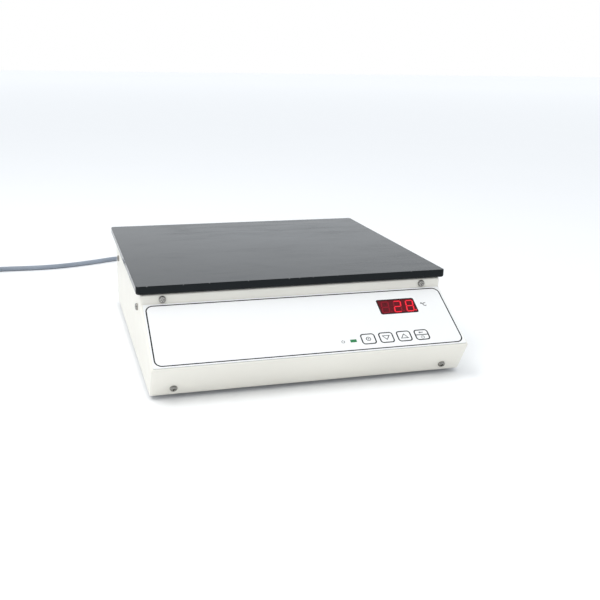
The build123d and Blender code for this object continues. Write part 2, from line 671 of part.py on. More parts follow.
# Base pan: floor with upturned flanges, vent slots and the holes for what stands on it
lean = SILL_RUN.normalized()
inward = -cos(radians(Vector(0, 1, 0).get_angle(SILL.z_dir)))
flange_y = SILL_Y + (SHEET + FIT) / inward
flange_inner_y = flange_y + PAN_SHEET / inward
flange_top = lean * -PAN_FRONT_FLANGE
pan_tongue = HALF - REAR_FLANGE - THROUGH
board_spread = (BOARD_WIDE / 2 - BOARD_INSET, BOARD_DEEP / 2 - BOARD_INSET)
board_spots = [
    (BOARD_X + side * board_spread[0], BOARD_Y + end * board_spread[1])
    for side in (-1, 1)
    for end in (-1, 1)
]
foot_spots = [(x, y) for x in (-FOOT_X, FOOT_X) for y in (FOOT_FRONT_Y, FOOT_REAR_Y)]
with BuildPart() as base_pan:
    with BuildSketch(Plane.YZ):
        with BuildLine():
            Polyline(
                (flange_y, FLOOR_GAP),
                (flange_y + flange_top.Y, FLOOR_GAP + flange_top.Z),
                (flange_inner_y + flange_top.Y, FLOOR_GAP + flange_top.Z),
                (flange_inner_y + lean.Y / lean.Z * PAN_SHEET, PAN_TOP),
                (INNER_REAR, PAN_TOP),
                (INNER_REAR, FLOOR_GAP),
                close=True,
            )
        make_face()
    extrude(amount=INNER_HALF, both=True)
    with BuildSketch(Plane.XY.offset(FLOOR_GAP)):
        with Locations((0, (INNER_REAR + REAR_Y - SHEET) / 2)):
            Rectangle(2 * pan_tongue, REAR_Y - SHEET - INNER_REAR)
    extrude(amount=PAN_SHEET)
    with BuildSketch(Plane.XY.offset(FLOOR_GAP)):
        with Locations((0, REAR_Y - SHEET - PAN_SHEET / 2)):
            Rectangle(2 * pan_tongue, PAN_SHEET)
    extrude(amount=PAN_REAR_FLANGE)
    flange_middle_y = (flange_inner_y + INNER_REAR) / 2
    for side in (-1, 1):
        with BuildSketch(Plane.XY.offset(FLOOR_GAP)):
            with Locations((side * (INNER_HALF - PAN_SHEET / 2), flange_middle_y)):
                Rectangle(PAN_SHEET, INNER_REAR - flange_inner_y)
        extrude(amount=PAN_FLANGE)
    drill(nose_places, M4 + CLEAR, SHEET + FIT + PAN_SHEET + THROUGH)
    drill(sill_places, M4 + CLEAR, SHEET + PAN_SHEET + THROUGH)
    with BuildSketch(Plane.XY.offset(FLOOR_GAP)):
        with Locations(*foot_spots):
            Circle(M4 + CLEAR)
        with Locations(*PAN_VENTS):
            with GridLocations(0, VENT_PITCH, 1, PAN_VENT_ROWS):
                SlotOverall(VENT_LENGTH, VENT_WIDE)
    extrude(amount=PAN_SHEET, mode=Mode.SUBTRACT)
finish(base_pan.part, "base_pan")

# Feet: rubber discs with the screw head sunk in them
with BuildPart() as feet:
    with BuildSketch():
        with Locations(*foot_spots):
            Circle(FOOT_RADIUS)
    extrude(amount=FLOOR_GAP)
    fillet(feet.edges().group_by(Axis.Z)[0], FOOT_EDGE)
    with Locations(*[(x, y, FLOOR_GAP - FOOT_WEB) for x, y in foot_spots]):
        Cylinder(
            M4_HEAD + FOOT_HEAD_ROOM,
            FLOOR_GAP,
            align=(Align.CENTER, Align.CENTER, Align.MAX),
            mode=Mode.SUBTRACT,
        )
        Cylinder(M4 + CLEAR, 2 * FLOOR_GAP, mode=Mode.SUBTRACT)
finish(feet.part, "feet")

foot_screw_places = [
    Location((x, y, FLOOR_GAP - FOOT_WEB), (180, 0, 0)) for x, y in foot_spots
]
finish(copies(m4_screw, foot_screw_places), "foot_screws")
finish(copies(m4_nut, [Location((x, y, PAN_TOP)) for x, y in foot_spots]), "foot_nuts")

# Control board on its spacers
BOARD_LOW = PAN_TOP + BOARD_STAND
BOARD_TOP = BOARD_LOW + PCB
with BuildPart() as board_spacers:
    with BuildSketch(Plane.XY.offset(PAN_TOP)):
        with Locations(*board_spots):
            RegularPolygon(M3_NUT_FLATS / 2, 6, major_radius=False)
            Circle(M3 + THREAD_FIT, mode=Mode.SUBTRACT)
    extrude(amount=BOARD_STAND)
finish(board_spacers.part, "board_spacers")

with BuildPart() as control_board:
    with BuildSketch(Plane.XY.offset(BOARD_LOW)):
        with Locations((BOARD_X, BOARD_Y)):
            Rectangle(BOARD_WIDE, BOARD_DEEP)
        with Locations(*board_spots):
            Circle(M3 + CLEAR, mode=Mode.SUBTRACT)
    extrude(amount=PCB)
finish(control_board.part, "control_board")

board_screw = pan_screw(M3, M3_HEAD, M3_HEAD_HIGH, PCB + BOARD_STAND / 2)
finish(copies(board_screw, [Location((x, y, BOARD_TOP)) for x, y in board_spots]), "board_screws")

# Parts on the control board
TRANSFORMER = (56.0, 46.0, 36.0)
TRANSFORMER_SPOT = (35.0, 18.0)  # from the board's middle, as are the spots below
TRANSFORMER_CORNER = 2.0
TRANSFORMER_EDGE = 1.0
with BuildPart() as transformer:
    with Locations((BOARD_X + TRANSFORMER_SPOT[0], BOARD_Y + TRANSFORMER_SPOT[1], BOARD_TOP)):
        Box(*TRANSFORMER, align=(Align.CENTER, Align.CENTER, Align.MIN))
    fillet(transformer.edges().filter_by(Axis.Z), TRANSFORMER_CORNER)
    chamfer(transformer.edges().group_by(Axis.Z)[-1], TRANSFORMER_EDGE)
finish(transformer.part, "transformer")

SINK = (46.0, 3.0, 30.0)
SINK_SPOT = (-30.0, -30.0)
SINK_FIN = (1.6, 12.0)  # thickness and reach
SINK_FINS = 8
sink_x = BOARD_X + SINK_SPOT[0]
sink_y = BOARD_Y + SINK_SPOT[1]
with BuildPart() as heat_sink:
    with Locations((sink_x, sink_y, BOARD_TOP)):
        Box(*SINK, align=(Align.CENTER, Align.MIN, Align.MIN))
    with Locations((sink_x, sink_y, BOARD_TOP + SINK[2] / 2)):
        with GridLocations(SINK[0] / SINK_FINS, 0, SINK_FINS, 1):
            Box(*SINK_FIN, SINK[2], align=(Align.CENTER, Align.MAX, Align.CENTER))
finish(heat_sink.part, "heat_sink")

TRIAC = (10.2, 4.5, 15.0)
TRIAC_RISE = 7.0
TRIAC_LEG = (0.9, 0.6, 7.2)
TRIAC_LEG_PITCH = 2.54
triac_y = sink_y + SINK[1]
with BuildPart() as triac:
    with Locations((sink_x, triac_y, BOARD_TOP + TRIAC_RISE)):
        Box(*TRIAC, align=(Align.CENTER, Align.MIN, Align.MIN))
    with Locations((sink_x, triac_y + TRIAC[1] / 2, BOARD_TOP + TRIAC_LEG[2] / 2)):
        with GridLocations(TRIAC_LEG_PITCH, 0, 3, 1):
            Box(*TRIAC_LEG)
finish(triac.part, "triac")

TERMINALS = (40.0, 11.0, 13.0)
TERMINALS_SPOT = (-45.0, 45.0)
TERMINAL_SCREW = (2.2, 3.0)  # radius and depth of its well
TERMINAL_WAYS = 4
terminal_x = BOARD_X + TERMINALS_SPOT[0]
terminal_y = BOARD_Y + TERMINALS_SPOT[1]
with BuildPart() as terminal_block:
    with Locations((terminal_x, terminal_y, BOARD_TOP)):
        Box(*TERMINALS, align=(Align.CENTER, Align.CENTER, Align.MIN))
    with Locations((terminal_x, terminal_y, BOARD_TOP + TERMINALS[2])):
        with GridLocations(TERMINALS[0] / TERMINAL_WAYS, 0, TERMINAL_WAYS, 1):
            Cylinder(*TERMINAL_SCREW, mode=Mode.SUBTRACT)
finish(terminal_block.part, "terminal_block")

CAPACITOR = (8.0, 26.0)
CAPACITOR_SPOT = (5.0, -32.0)
CAPACITOR_EDGE = 1.0
with BuildPart() as filter_capacitor:
    with Locations((BOARD_X + CAPACITOR_SPOT[0], BOARD_Y + CAPACITOR_SPOT[1], BOARD_TOP)):
        Cylinder(*CAPACITOR, align=(Align.CENTER, Align.CENTER, Align.MIN))
    fillet(filter_capacitor.edges().group_by(Axis.Z)[-1], CAPACITOR_EDGE)
finish(filter_capacitor.part, "filter_capacitor")

# Rear panel between the housing's sides, with its top folded forward
panel_half = HALF - SHEET - FIT
with BuildPart() as rear_panel:
    with BuildSketch(REAR):
        with Locations((0, (FLOOR_GAP + TOP_Z) / 2)):
            Rectangle(2 * panel_half, TOP_Z - FLOOR_GAP)
        with Locations((-INLET_X, SOCKET_Z)):
            Rectangle(
                INLET_BARREL[0] + 2 * CUTOUT_ROOM,
                INLET_BARREL[1] + 2 * CUTOUT_ROOM,
                mode=Mode.SUBTRACT,
            )
        with Locations((-INLET_X - INLET_SCREW_X, SOCKET_Z), (-INLET_X + INLET_SCREW_X, SOCKET_Z)):
            Circle(M3 + CLEAR, mode=Mode.SUBTRACT)
        with Locations((-SWITCH_X, SOCKET_Z)):
            Rectangle(
                SWITCH_BARREL[0] + 2 * CUTOUT_ROOM,
                SWITCH_BARREL[1] + 2 * CUTOUT_ROOM,
                mode=Mode.SUBTRACT,
            )
        with Locations((-FUSE_X, SOCKET_Z)):
            Circle(FUSE_RADIUS + CUTOUT_ROOM, mode=Mode.SUBTRACT)
        with Locations((-REAR_VENT_X, SOCKET_Z)):
            with GridLocations(VENT_PITCH, 0, REAR_VENT_COLUMNS, 1):
                SlotOverall(VENT_LENGTH, VENT_WIDE, rotation=90, mode=Mode.SUBTRACT)
    extrude(amount=-SHEET)
    with BuildSketch(Plane.XY.offset(TOP_Z - SHEET)):
        with Locations((0, REAR_Y - REAR_LIP / 2)):
            Rectangle(2 * (HALF - LIP - THROUGH), REAR_LIP)
    extrude(amount=SHEET)
    fold = rear_panel.edges().filter_by(Axis.X).group_by(Axis.Y)[-1].sort_by(Axis.Z)[-1]
    fillet(fold, SHEET * 0.9)
    drill(rear_places + sill_places, M4 + CLEAR, SHEET + THROUGH)
finish(rear_panel.part, "rear_panel")

# Case screws and their nuts, all of one size
finish(
    copies(m4_screw, strip_places + nose_places + side_places + rear_places + sill_places),
    "case_screws",
)
nut_places = deeper(strip_places + side_places, SHEET + FIT + TRAY_SHEET + M4_NUT_HIGH)
nut_places += deeper(nose_places, SHEET + FIT + PAN_SHEET + M4_NUT_HIGH)
nut_places += deeper(rear_places, 2 * SHEET + M4_NUT_HIGH)
nut_places += deeper(sill_places, SHEET + PAN_SHEET + M4_NUT_HIGH)
finish(copies(m4_nut, nut_places), "case_nuts")


# Mains inlet with its pins, screws and nuts
def nose_outline(room):
    """The connector's outline, with two cut corners on the earth side."""
    half_wide = NOSE_WIDE / 2 + room
    half_high = NOSE_HIGH / 2 + room
    return [
        (-half_wide, -half_high),
        (half_wide, -half_high),
        (half_wide, half_high - NOSE_CHAMFER),
        (half_wide - NOSE_CHAMFER, half_high),
        (-half_wide + NOSE_CHAMFER, half_high),
        (-half_wide, half_high - NOSE_CHAMFER),
    ]


inlet_plane = rear_plane(INLET_X)
cavity_back = CAVITY_DEEP - INLET_FLANGE[2]
inlet_back = cavity_back + CAVITY_FLOOR
with BuildPart() as power_inlet:
    with BuildSketch(inlet_plane):
        RectangleRounded(INLET_FLANGE[0], INLET_FLANGE[1], INLET_CORNER)
        with Locations((-INLET_SCREW_X, 0), (INLET_SCREW_X, 0)):
            Circle(M3 + CLEAR, mode=Mode.SUBTRACT)
    extrude(amount=INLET_FLANGE[2])
    with BuildSketch(inlet_plane):
        Rectangle(INLET_BARREL[0], INLET_BARREL[1])
    extrude(amount=-inlet_back)
    with BuildSketch(inlet_plane.offset(INLET_FLANGE[2])):
        Polygon(*nose_outline(NOSE_ROOM), align=None)
    extrude(amount=-CAVITY_DEEP, mode=Mode.SUBTRACT)
    with BuildSketch(inlet_plane.offset(-cavity_back)):
        with Locations(*PIN_PLACES):
            Rectangle(PIN_SIZE[0] + 2 * THREAD_FIT, PIN_SIZE[1] + 2 * THREAD_FIT)
    extrude(amount=-CAVITY_FLOOR, mode=Mode.SUBTRACT)
finish(power_inlet.part, "power_inlet")

pin_end = inlet_back + PIN_TAB
with BuildPart() as inlet_pins:
    with BuildSketch(inlet_plane.offset(-pin_end)):
        with Locations(*PIN_PLACES):
            Rectangle(*PIN_SIZE)
    extrude(amount=pin_end)
    chamfer(inlet_pins.edges().group_by(Axis.Y)[-1], PIN_TIP)
finish(inlet_pins.part, "inlet_pins")

inlet_spots = [(-INLET_SCREW_X, 0), (INLET_SCREW_X, 0)]
inlet_screw = pan_screw(M3, M3_HEAD, M3_HEAD_HIGH, INLET_SCREW_LENGTH)
finish(
    copies(inlet_screw, on(inlet_plane, *[(x, y, INLET_FLANGE[2]) for x, y in inlet_spots])),
    "inlet_screws",
)
finish(
    copies(m3_nut, on(inlet_plane, *[(x, y, -SHEET - M3_NUT_HIGH) for x, y in inlet_spots])),
    "inlet_nuts",
)

# Mains switch: frame and rocker
switch_plane = rear_plane(SWITCH_X)
with BuildPart() as switch_frame:
    with BuildSketch(switch_plane):
        RectangleRounded(SWITCH_BEZEL[0], SWITCH_BEZEL[1], SWITCH_CORNER)
    extrude(amount=SWITCH_BEZEL[2])
    fillet(switch_frame.faces().sort_by(Axis.Y)[-1].edges(), TRIM_EDGE)
    with BuildSketch(switch_plane):
        Rectangle(SWITCH_BARREL[0], SWITCH_BARREL[1])
    extrude(amount=-SWITCH_BARREL[2])
    with BuildSketch(switch_plane.offset(SWITCH_BEZEL[2])):
        Rectangle(*SWITCH_MOUTH)
    extrude(amount=-(SWITCH_BEZEL[2] + SWITCH_CAVITY), mode=Mode.SUBTRACT)
    with Locations(switch_plane.offset(-ROCKER_PIVOT)):
        Cylinder(
            ROCKER_PIN + ROCKER_PIN_FIT,
            SWITCH_MOUTH[0] + 2 * (ROCKER_PIN_REACH + ROCKER_ROOM),
            rotation=(0, 90, 0),
            mode=Mode.SUBTRACT,
        )
finish(switch_frame.part, "switch_frame")

ROCKER_REACH = SWITCH_MOUTH[1] / 2 - ROCKER_ROOM
ROCKER_RIDGE = 3.8
ROCKER_HORN = 6.4
ROCKER_BACK = 3.0
tilt = radians(ROCKER_TILT)
rocker_plane = Plane(
    origin=(SWITCH_X, REAR_Y - ROCKER_PIVOT, SOCKET_Z),
    x_dir=(0, cos(tilt), sin(tilt)),
    z_dir=(1, 0, 0),
)
with BuildPart() as switch_rocker:
    with BuildSketch(rocker_plane):
        with BuildLine():
            Polyline(
                (ROCKER_RIDGE, 0),
                (ROCKER_HORN, ROCKER_REACH),
                (-ROCKER_BACK, ROCKER_REACH),
                (-ROCKER_BACK, -ROCKER_REACH),
                (ROCKER_HORN, -ROCKER_REACH),
                close=True,
            )
        make_face()
        Circle(ROCKER_REACH, mode=Mode.INTERSECT)
    extrude(amount=SWITCH_MOUTH[0] / 2 - ROCKER_ROOM, both=True)
    with BuildSketch(rocker_plane):
        Circle(ROCKER_PIN)
    extrude(amount=SWITCH_MOUTH[0] / 2 + ROCKER_PIN_REACH, both=True)
finish(switch_rocker.part, "switch_rocker")

# Fuse holder with nut, cap and fuse
fuse_plane = rear_plane(FUSE_X)
with BuildPart() as fuse_holder:
    with BuildSketch(fuse_plane):
        Circle(FUSE_FLANGE)
    extrude(amount=FUSE_FLANGE_HIGH)
    with BuildSketch(fuse_plane):
        Circle(FUSE_RADIUS)
    extrude(amount=-FUSE_DEEP)
    with BuildSketch(fuse_plane.offset(FUSE_FLANGE_HIGH)):
        Circle(FUSE_BORE)
    extrude(amount=-(FUSE_FLANGE_HIGH + FUSE_SPIGOT + FUSE_LINK[1]), mode=Mode.SUBTRACT)
finish(fuse_holder.part, "fuse_holder")

with BuildPart() as fuse_nut:
    with BuildSketch(fuse_plane.offset(-SHEET)):
        RegularPolygon(FUSE_FLANGE, 6, major_radius=False)
        Circle(FUSE_RADIUS + THREAD_FIT, mode=Mode.SUBTRACT)
    extrude(amount=-FUSE_NUT_HIGH)
finish(fuse_nut.part, "fuse_nut")

with BuildPart() as fuse_cap:
    with BuildSketch(fuse_plane.offset(FUSE_FLANGE_HIGH)):
        Circle(FUSE_CAP[0])
    extrude(amount=FUSE_CAP[1])
    fillet(fuse_cap.faces().sort_by(Axis.Y)[-1].edges(), TRIM_EDGE)
    with BuildSketch(fuse_plane.offset(FUSE_FLANGE_HIGH)):
        Circle(FUSE_BORE - CLEAR)
    extrude(amount=-(FUSE_FLANGE_HIGH + FUSE_SPIGOT))
    with Locations(fuse_plane.offset(FUSE_FLANGE_HIGH + FUSE_CAP[1])):
        Box(2 * FUSE_CAP[0], *FUSE_CAP_SLOT, mode=Mode.SUBTRACT)
finish(fuse_cap.part, "fuse_cap")

with BuildPart() as fuse_link:
    with BuildSketch(fuse_plane.offset(-FUSE_SPIGOT)):
        Circle(FUSE_LINK[0])
    extrude(amount=-FUSE_LINK[1])
finish(fuse_link.part, "fuse_link")

# Earth stud on the pan's floor, with its nut
EARTH_X = -60.0
EARTH_Y = 118.0
EARTH_HIGH = 12.0
with BuildPart() as earth_stud:
    with Locations((EARTH_X, EARTH_Y, PAN_TOP)):
        Cylinder(M4, EARTH_HIGH, align=(Align.CENTER, Align.CENTER, Align.MIN))
finish(earth_stud.part, "earth_stud")
finish(copies(m4_nut, [Location((EARTH_X, EARTH_Y, PAN_TOP))]), "earth_nut")

# Wiring: mains, heater and sensor leads, and the display's ribbon
WIRE = 1.3
WIRE_BEND = 5.0
WIRE_RUN = 14.0  # straight, off a tab or a pin, before a bend
WIRE_SIDE = 5.0  # a pair's leads, from their middle
WIRE_STEP = 3.0  # between two leads that cross behind the rear panel
EARTH_LOOP = (6.0, 12.0)  # behind and above the stud
MAINS_ENTRY = (-15.0, 5.0)  # across the terminals, and above the board
pin_y = REAR_Y - pin_end
lead_y = pin_y - WIRE_RUN
live_y = lead_y + WIRE_SIDE
fused_y = live_y - WIRE_STEP
fused_z = SOCKET_Z + 2
terminal_back = terminal_y + TERMINALS[1] / 2
terminal_z = BOARD_TOP + MAINS_ENTRY[1]
mains_x = terminal_x + MAINS_ENTRY[0]
switch_back = REAR_Y - SWITCH_BARREL[2]
fuse_back = REAR_Y - FUSE_DEEP
live_pin, neutral_pin, earth_pin = [(INLET_X - x, SOCKET_Z + z) for x, z in PIN_PLACES]
mains_runs = [
    [
        (neutral_pin[0], pin_y, neutral_pin[1]),
        (neutral_pin[0], lead_y, neutral_pin[1]),
        (mains_x, lead_y - WIRE_RUN, terminal_z),
        (mains_x, terminal_back, terminal_z),
    ],
    [
        (live_pin[0], pin_y, live_pin[1]),
        (live_pin[0], live_y, live_pin[1]),
        (SWITCH_X - WIRE_SIDE, live_y, live_pin[1]),
        (SWITCH_X - WIRE_SIDE, switch_back, live_pin[1]),
    ],
    [
        (SWITCH_X + WIRE_SIDE, switch_back, fused_z),
        (SWITCH_X + WIRE_SIDE, fused_y, fused_z),
        (FUSE_X, fused_y, fused_z),
        (FUSE_X, fuse_back, fused_z),
    ],
    [
        (earth_pin[0], pin_y, earth_pin[1]),
        (earth_pin[0], EARTH_Y + EARTH_LOOP[0], earth_pin[1]),
        (EARTH_X, EARTH_Y, PAN_TOP + EARTH_HIGH + EARTH_LOOP[1]),
        (EARTH_X, EARTH_Y, PAN_TOP + EARTH_HIGH),
    ],
]
with BuildPart() as mains_wiring:
    for run in mains_runs:
        add(wire(run, WIRE, WIRE_BEND))
finish(mains_wiring.part, "mains_wiring")

HEATER_DROPS = (8.0, 9.0, 10.0)  # below the tray, along the leads
HEATER_BEND = (-50.0, 30.0)  # from the cutout to the leads' bend
HEATER_ENTRY = 10.0  # from the terminals' middle
WELL_BITE = 1.5  # how far a lead sits in its terminal's well
with BuildPart() as heater_leads:
    for side in (-1, 1):
        tab_x = CUTOUT_X + side * CUTOUT_TAB_X
        well_x = terminal_x + HEATER_ENTRY + side * WIRE_SIDE
        first, second, third = [TRAY_LOW - drop for drop in HEATER_DROPS]
        add(
            wire(
                [
                    (tab_x, SENSOR_Y, cutout_low - CUTOUT_TAB[2]),
                    (tab_x, SENSOR_Y, first),
                    (tab_x + HEATER_BEND[0], SENSOR_Y + HEATER_BEND[1], second),
                    (well_x, terminal_y, third),
                    (well_x, terminal_y, BOARD_TOP + TERMINALS[2] - WELL_BITE),
                ],
                WIRE,
                WIRE_BEND,
            )
        )
finish(heater_leads.part, "heater_leads")

probe_end = SENSOR_X + PROBE[1] / 2
probe_y = SENSOR_Y + PROBE_SIDE
probe_z = PLATE_LOW - SENSOR_BLOCK[2] / 2
SENSOR_WIRE = 1.0
SENSOR_WIRE_BEND = 2.0
SENSOR_LOOP = 4.0  # out of the block, before the lead turns down
SENSOR_SLACK = (10.0, 25.0)  # below the tray, where the lead slopes to the board
SENSOR_ENTRY = 30.0  # behind the sensor, where it turns down to the board
lead_x = probe_end - SENSOR_LOOP / 2
finish(
    wire(
        [
            (probe_end, probe_y, probe_z),
            (probe_end + SENSOR_LOOP, probe_y, probe_z),
            (lead_x, probe_y, TRAY_LOW - SENSOR_SLACK[0]),
            (lead_x, probe_y + SENSOR_ENTRY, TRAY_LOW - SENSOR_SLACK[1]),
            (lead_x, probe_y + SENSOR_ENTRY, BOARD_TOP),
        ],
        SENSOR_WIRE,
        SENSOR_WIRE_BEND,
    ),
    "sensor_lead",
)

RIBBON = (20.0, 1.0)
RIBBON_X = 58.0
RIBBON_DOWN = 64.0  # where it leaves the display board
RIBBON_OUT = 12.0
RIBBON_FRONT = (-110.0, 24.0)  # its low point behind the slope
RIBBON_RISE = 28.0
RIBBON_INSET = 8.0  # on the control board
RIBBON_BEND = 5.0
header_depth = board_face + PCB
header = SLOPE.offset(-header_depth).from_local_coords((RIBBON_X, -RIBBON_DOWN, 0))
header_out = SLOPE.offset(-header_depth - RIBBON_OUT).from_local_coords(
    (RIBBON_X, -RIBBON_DOWN, 0)
)
ribbon_y = BOARD_Y - BOARD_DEEP / 2 + RIBBON_INSET
with BuildPart() as ribbon_cable:
    with BuildLine() as ribbon_path:
        FilletPolyline(
            header,
            header_out,
            (RIBBON_X, *RIBBON_FRONT),
            (RIBBON_X, ribbon_y, RIBBON_RISE),
            (RIBBON_X, ribbon_y, BOARD_TOP),
            radius=RIBBON_BEND,
        )
    with BuildSketch(Plane(origin=header, x_dir=(1, 0, 0), z_dir=ribbon_path.line % 0)):
        Rectangle(*RIBBON)
    sweep()
finish(ribbon_cable.part, "ribbon_cable")

# Cord connector, pushed into the inlet
grip_face = INLET_FLANGE[2]
with BuildPart() as cord_connector:
    with BuildSketch(inlet_plane.offset(grip_face)):
        Polygon(*nose_outline(0), align=None)
    extrude(amount=-NOSE_LENGTH)
    with BuildSketch(inlet_plane.offset(grip_face)):
        RectangleRounded(GRIP[0], GRIP[1], GRIP_CORNER)
    with BuildSketch(inlet_plane.offset(grip_face + GRIP_WAIST[2])):
        RectangleRounded(GRIP_WAIST[0], GRIP_WAIST[1], GRIP_CORNER)
    with BuildSketch(inlet_plane.offset(grip_face + GRIP[2])):
        RectangleRounded(*GRIP_NECK, GRIP_NECK_CORNER)
    loft(ruled=True)
    with BuildSketch(inlet_plane.offset(grip_face + GRIP[2])):
        Circle(RELIEF_ROOT)
    with BuildSketch(inlet_plane.offset(grip_face + GRIP[2] + RELIEF)):
        Circle(RELIEF_TIP)
    loft()
    with BuildSketch(inlet_plane.offset(grip_face - NOSE_LENGTH)):
        with Locations(*PIN_PLACES):
            Rectangle(*[size + SOCKET_ROOM for size in PIN_SIZE])
    extrude(amount=NOSE_LENGTH, mode=Mode.SUBTRACT)
finish(cord_connector.part, "cord_connector")

# Cord: out of the connector, down to the table, round to the left and into the coil
cord_z = CORD / 2
cord_exit = (INLET_X, REAR_Y + grip_face + GRIP[2] + RELIEF, SOCKET_Z)
coil_turn_z = cord_z + TIE_THICK
CORD_ROUTE = [
    cord_exit,
    (-82.0, 271.0, 34.0),
    (-81.0, 312.0, 13.5),
    (-81.5, 354.0, cord_z),
    (-82.0, 396.0, cord_z),
    (-106.0, 426.0, cord_z),
    (-144.5, 435.0, cord_z),
    (-200.0, 408.5, cord_z),
    (-258.0, 391.5, cord_z),
    (-328.0, 395.2, cord_z),
    (COIL_X, COIL_Y + COIL_OUTER_TURN, coil_turn_z),
]


def corner_radii(route):
    """For each corner, 0.45 of the shorter run over the tangent of half the turn."""
    points = [Vector(*point) for point in route]
    radii = []
    for before, here, after in zip(points, points[1:], points[2:]):
        run_in = here - before
        run_out = after - here
        half_turn = radians(run_in.get_angle(run_out)) / 2
        radii.append(0.45 * min(run_in.length, run_out.length) / tan(half_turn))
    return radii


radii = corner_radii(CORD_ROUTE)
print("cord corner radii", [round(radius) for radius in radii])
with BuildPart() as cord:
    with BuildLine() as cord_path:
        FilletPolyline(*CORD_ROUTE, radius=radii)
    with BuildSketch(cord_path.line ^ 0):
        Circle(CORD / 2)
    sweep()
finish(cord.part, "cord")
tube_length = cord_path.wire().length
section_volume = pi * CORD**2 / 4 * tube_length
print("cord tube length", round(tube_length, 1))
print("cord volume over section times length", round(cord.part.volume / section_volume, 5))

# Coil of the cord's length that is put away, its tie, and the tail to the plug
coil_wide = COIL_OUTER_TURN - COIL_INNER_TURN + CORD
tie_middle = (COIL_INNER_TURN + COIL_OUTER_TURN) / 2
with BuildPart() as cord_coil:
    with BuildSketch(Plane.XZ.offset(-COIL_Y)):
        with Locations((COIL_X + tie_middle, TIE_THICK + COIL_HIGH / 2)):
            RectangleRounded(coil_wide, COIL_HIGH, cord_z * 0.9)
    revolve(axis=Axis((COIL_X, COIL_Y, 0), (0, 0, 1)))
finish(cord_coil.part, "cord_coil")

tie_angle = radians(TIE_ANGLE)
tie_plane = Plane(
    origin=(COIL_X + tie_middle * cos(tie_angle), COIL_Y + tie_middle * sin(tie_angle), 0),
    x_dir=(cos(tie_angle), sin(tie_angle), 0),
    z_dir=(sin(tie_angle), -cos(tie_angle), 0),
)
tie_room_x = coil_wide + TIE_ROOM[0]
tie_room_z = COIL_HIGH + TIE_ROOM[1]
with BuildPart() as cord_tie:
    with BuildSketch(tie_plane.offset(-TIE_WIDE / 2)):
        with Locations((0, tie_room_z / 2 + TIE_THICK)):
            RectangleRounded(tie_room_x + 2 * TIE_THICK, tie_room_z + 2 * TIE_THICK, TIE_CORNER)
            RectangleRounded(tie_room_x, tie_room_z, TIE_CORNER - TIE_THICK, mode=Mode.SUBTRACT)
    extrude(amount=TIE_WIDE)
finish(cord_tie.part, "cord_tie")

top_turn_z = coil_turn_z + CORD + CORD * sin(radians(TOP_TURN_RISE))
plug_x = COIL_X - COIL_TOP_TURN
tail_end_y = COIL_Y - TAIL_RUN
with BuildPart() as cord_tail:
    with BuildLine() as tail_path:
        FilletPolyline(
            (plug_x, COIL_Y, top_turn_z),
            (plug_x, COIL_Y - TAIL_RUN / 2, PLUG_RADIUS),
            (plug_x, tail_end_y, PLUG_RADIUS),
            radius=TAIL_BEND,
        )
    with BuildSketch(tail_path.line ^ 0):
        Circle(CORD / 2)
    sweep()
finish(cord_tail.part, "cord_tail")

# Mains plug: a moulded body with its strain relief, and two pins
plug_plane = Plane(origin=(plug_x, tail_end_y, PLUG_RADIUS), x_dir=(1, 0, 0), z_dir=(0, -1, 0))
plug_face = PLUG_RELIEF + PLUG_BODY
with BuildPart() as mains_plug:
    with BuildSketch(Plane(origin=plug_plane.origin, x_dir=(1, 0, 0), z_dir=(0, 0, 1))):
        with BuildLine():
            Polyline(
                (0, 0),
                (PLUG_RELIEF_RADII[0], 0),
                (PLUG_RELIEF_RADII[1], -PLUG_RELIEF),
                *[(radius, -PLUG_RELIEF - place) for radius, place in PLUG_SHOULDERS],
                (PLUG_RADIUS, -plug_face),
                (0, -plug_face),
                close=True,
            )
        make_face()
    revolve(axis=Axis(plug_plane.origin, (0, 1, 0)))
    with BuildSketch(plug_plane.offset(plug_face)):
        with Locations((-PLUG_PIN_PITCH / 2, 0), (PLUG_PIN_PITCH / 2, 0)):
            Circle(PLUG_PIN[0] + THREAD_FIT)
        with Locations((0, PLUG_EARTH[0])):
            Circle(PLUG_EARTH[1])
    extrude(amount=-PLUG_PIN_SEAT, mode=Mode.SUBTRACT)
finish(mains_plug.part, "mains_plug")

with BuildPart() as plug_pins:
    with BuildSketch(plug_plane.offset(plug_face - PLUG_PIN_SEAT)):
        with Locations((-PLUG_PIN_PITCH / 2, 0), (PLUG_PIN_PITCH / 2, 0)):
            Circle(PLUG_PIN[0])
    extrude(amount=PLUG_PIN_SEAT + PLUG_PIN[1])
    fillet(plug_pins.edges().group_by(Axis.Y)[0], PLUG_PIN_TIP)
finish(plug_pins.part, "plug_pins")
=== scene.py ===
"""Looks of a bench slide warmer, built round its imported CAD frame. Metres, +Z up, front is -Y."""

import json
import math

import bmesh
import bpy
from mathutils import Matrix, Vector

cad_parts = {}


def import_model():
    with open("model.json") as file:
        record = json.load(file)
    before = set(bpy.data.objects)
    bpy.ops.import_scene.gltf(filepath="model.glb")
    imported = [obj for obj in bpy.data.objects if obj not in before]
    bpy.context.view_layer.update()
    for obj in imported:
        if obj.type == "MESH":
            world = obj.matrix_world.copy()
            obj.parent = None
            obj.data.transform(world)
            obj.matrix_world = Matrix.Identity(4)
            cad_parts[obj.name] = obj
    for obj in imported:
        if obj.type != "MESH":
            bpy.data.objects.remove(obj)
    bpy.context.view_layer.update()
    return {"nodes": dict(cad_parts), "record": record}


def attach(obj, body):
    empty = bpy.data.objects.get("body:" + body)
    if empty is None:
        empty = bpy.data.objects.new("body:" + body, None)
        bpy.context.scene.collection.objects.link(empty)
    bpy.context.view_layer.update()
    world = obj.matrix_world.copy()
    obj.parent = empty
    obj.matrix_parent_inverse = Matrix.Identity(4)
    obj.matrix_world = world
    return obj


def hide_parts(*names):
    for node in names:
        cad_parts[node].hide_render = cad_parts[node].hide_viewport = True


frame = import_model()

MM = 0.001

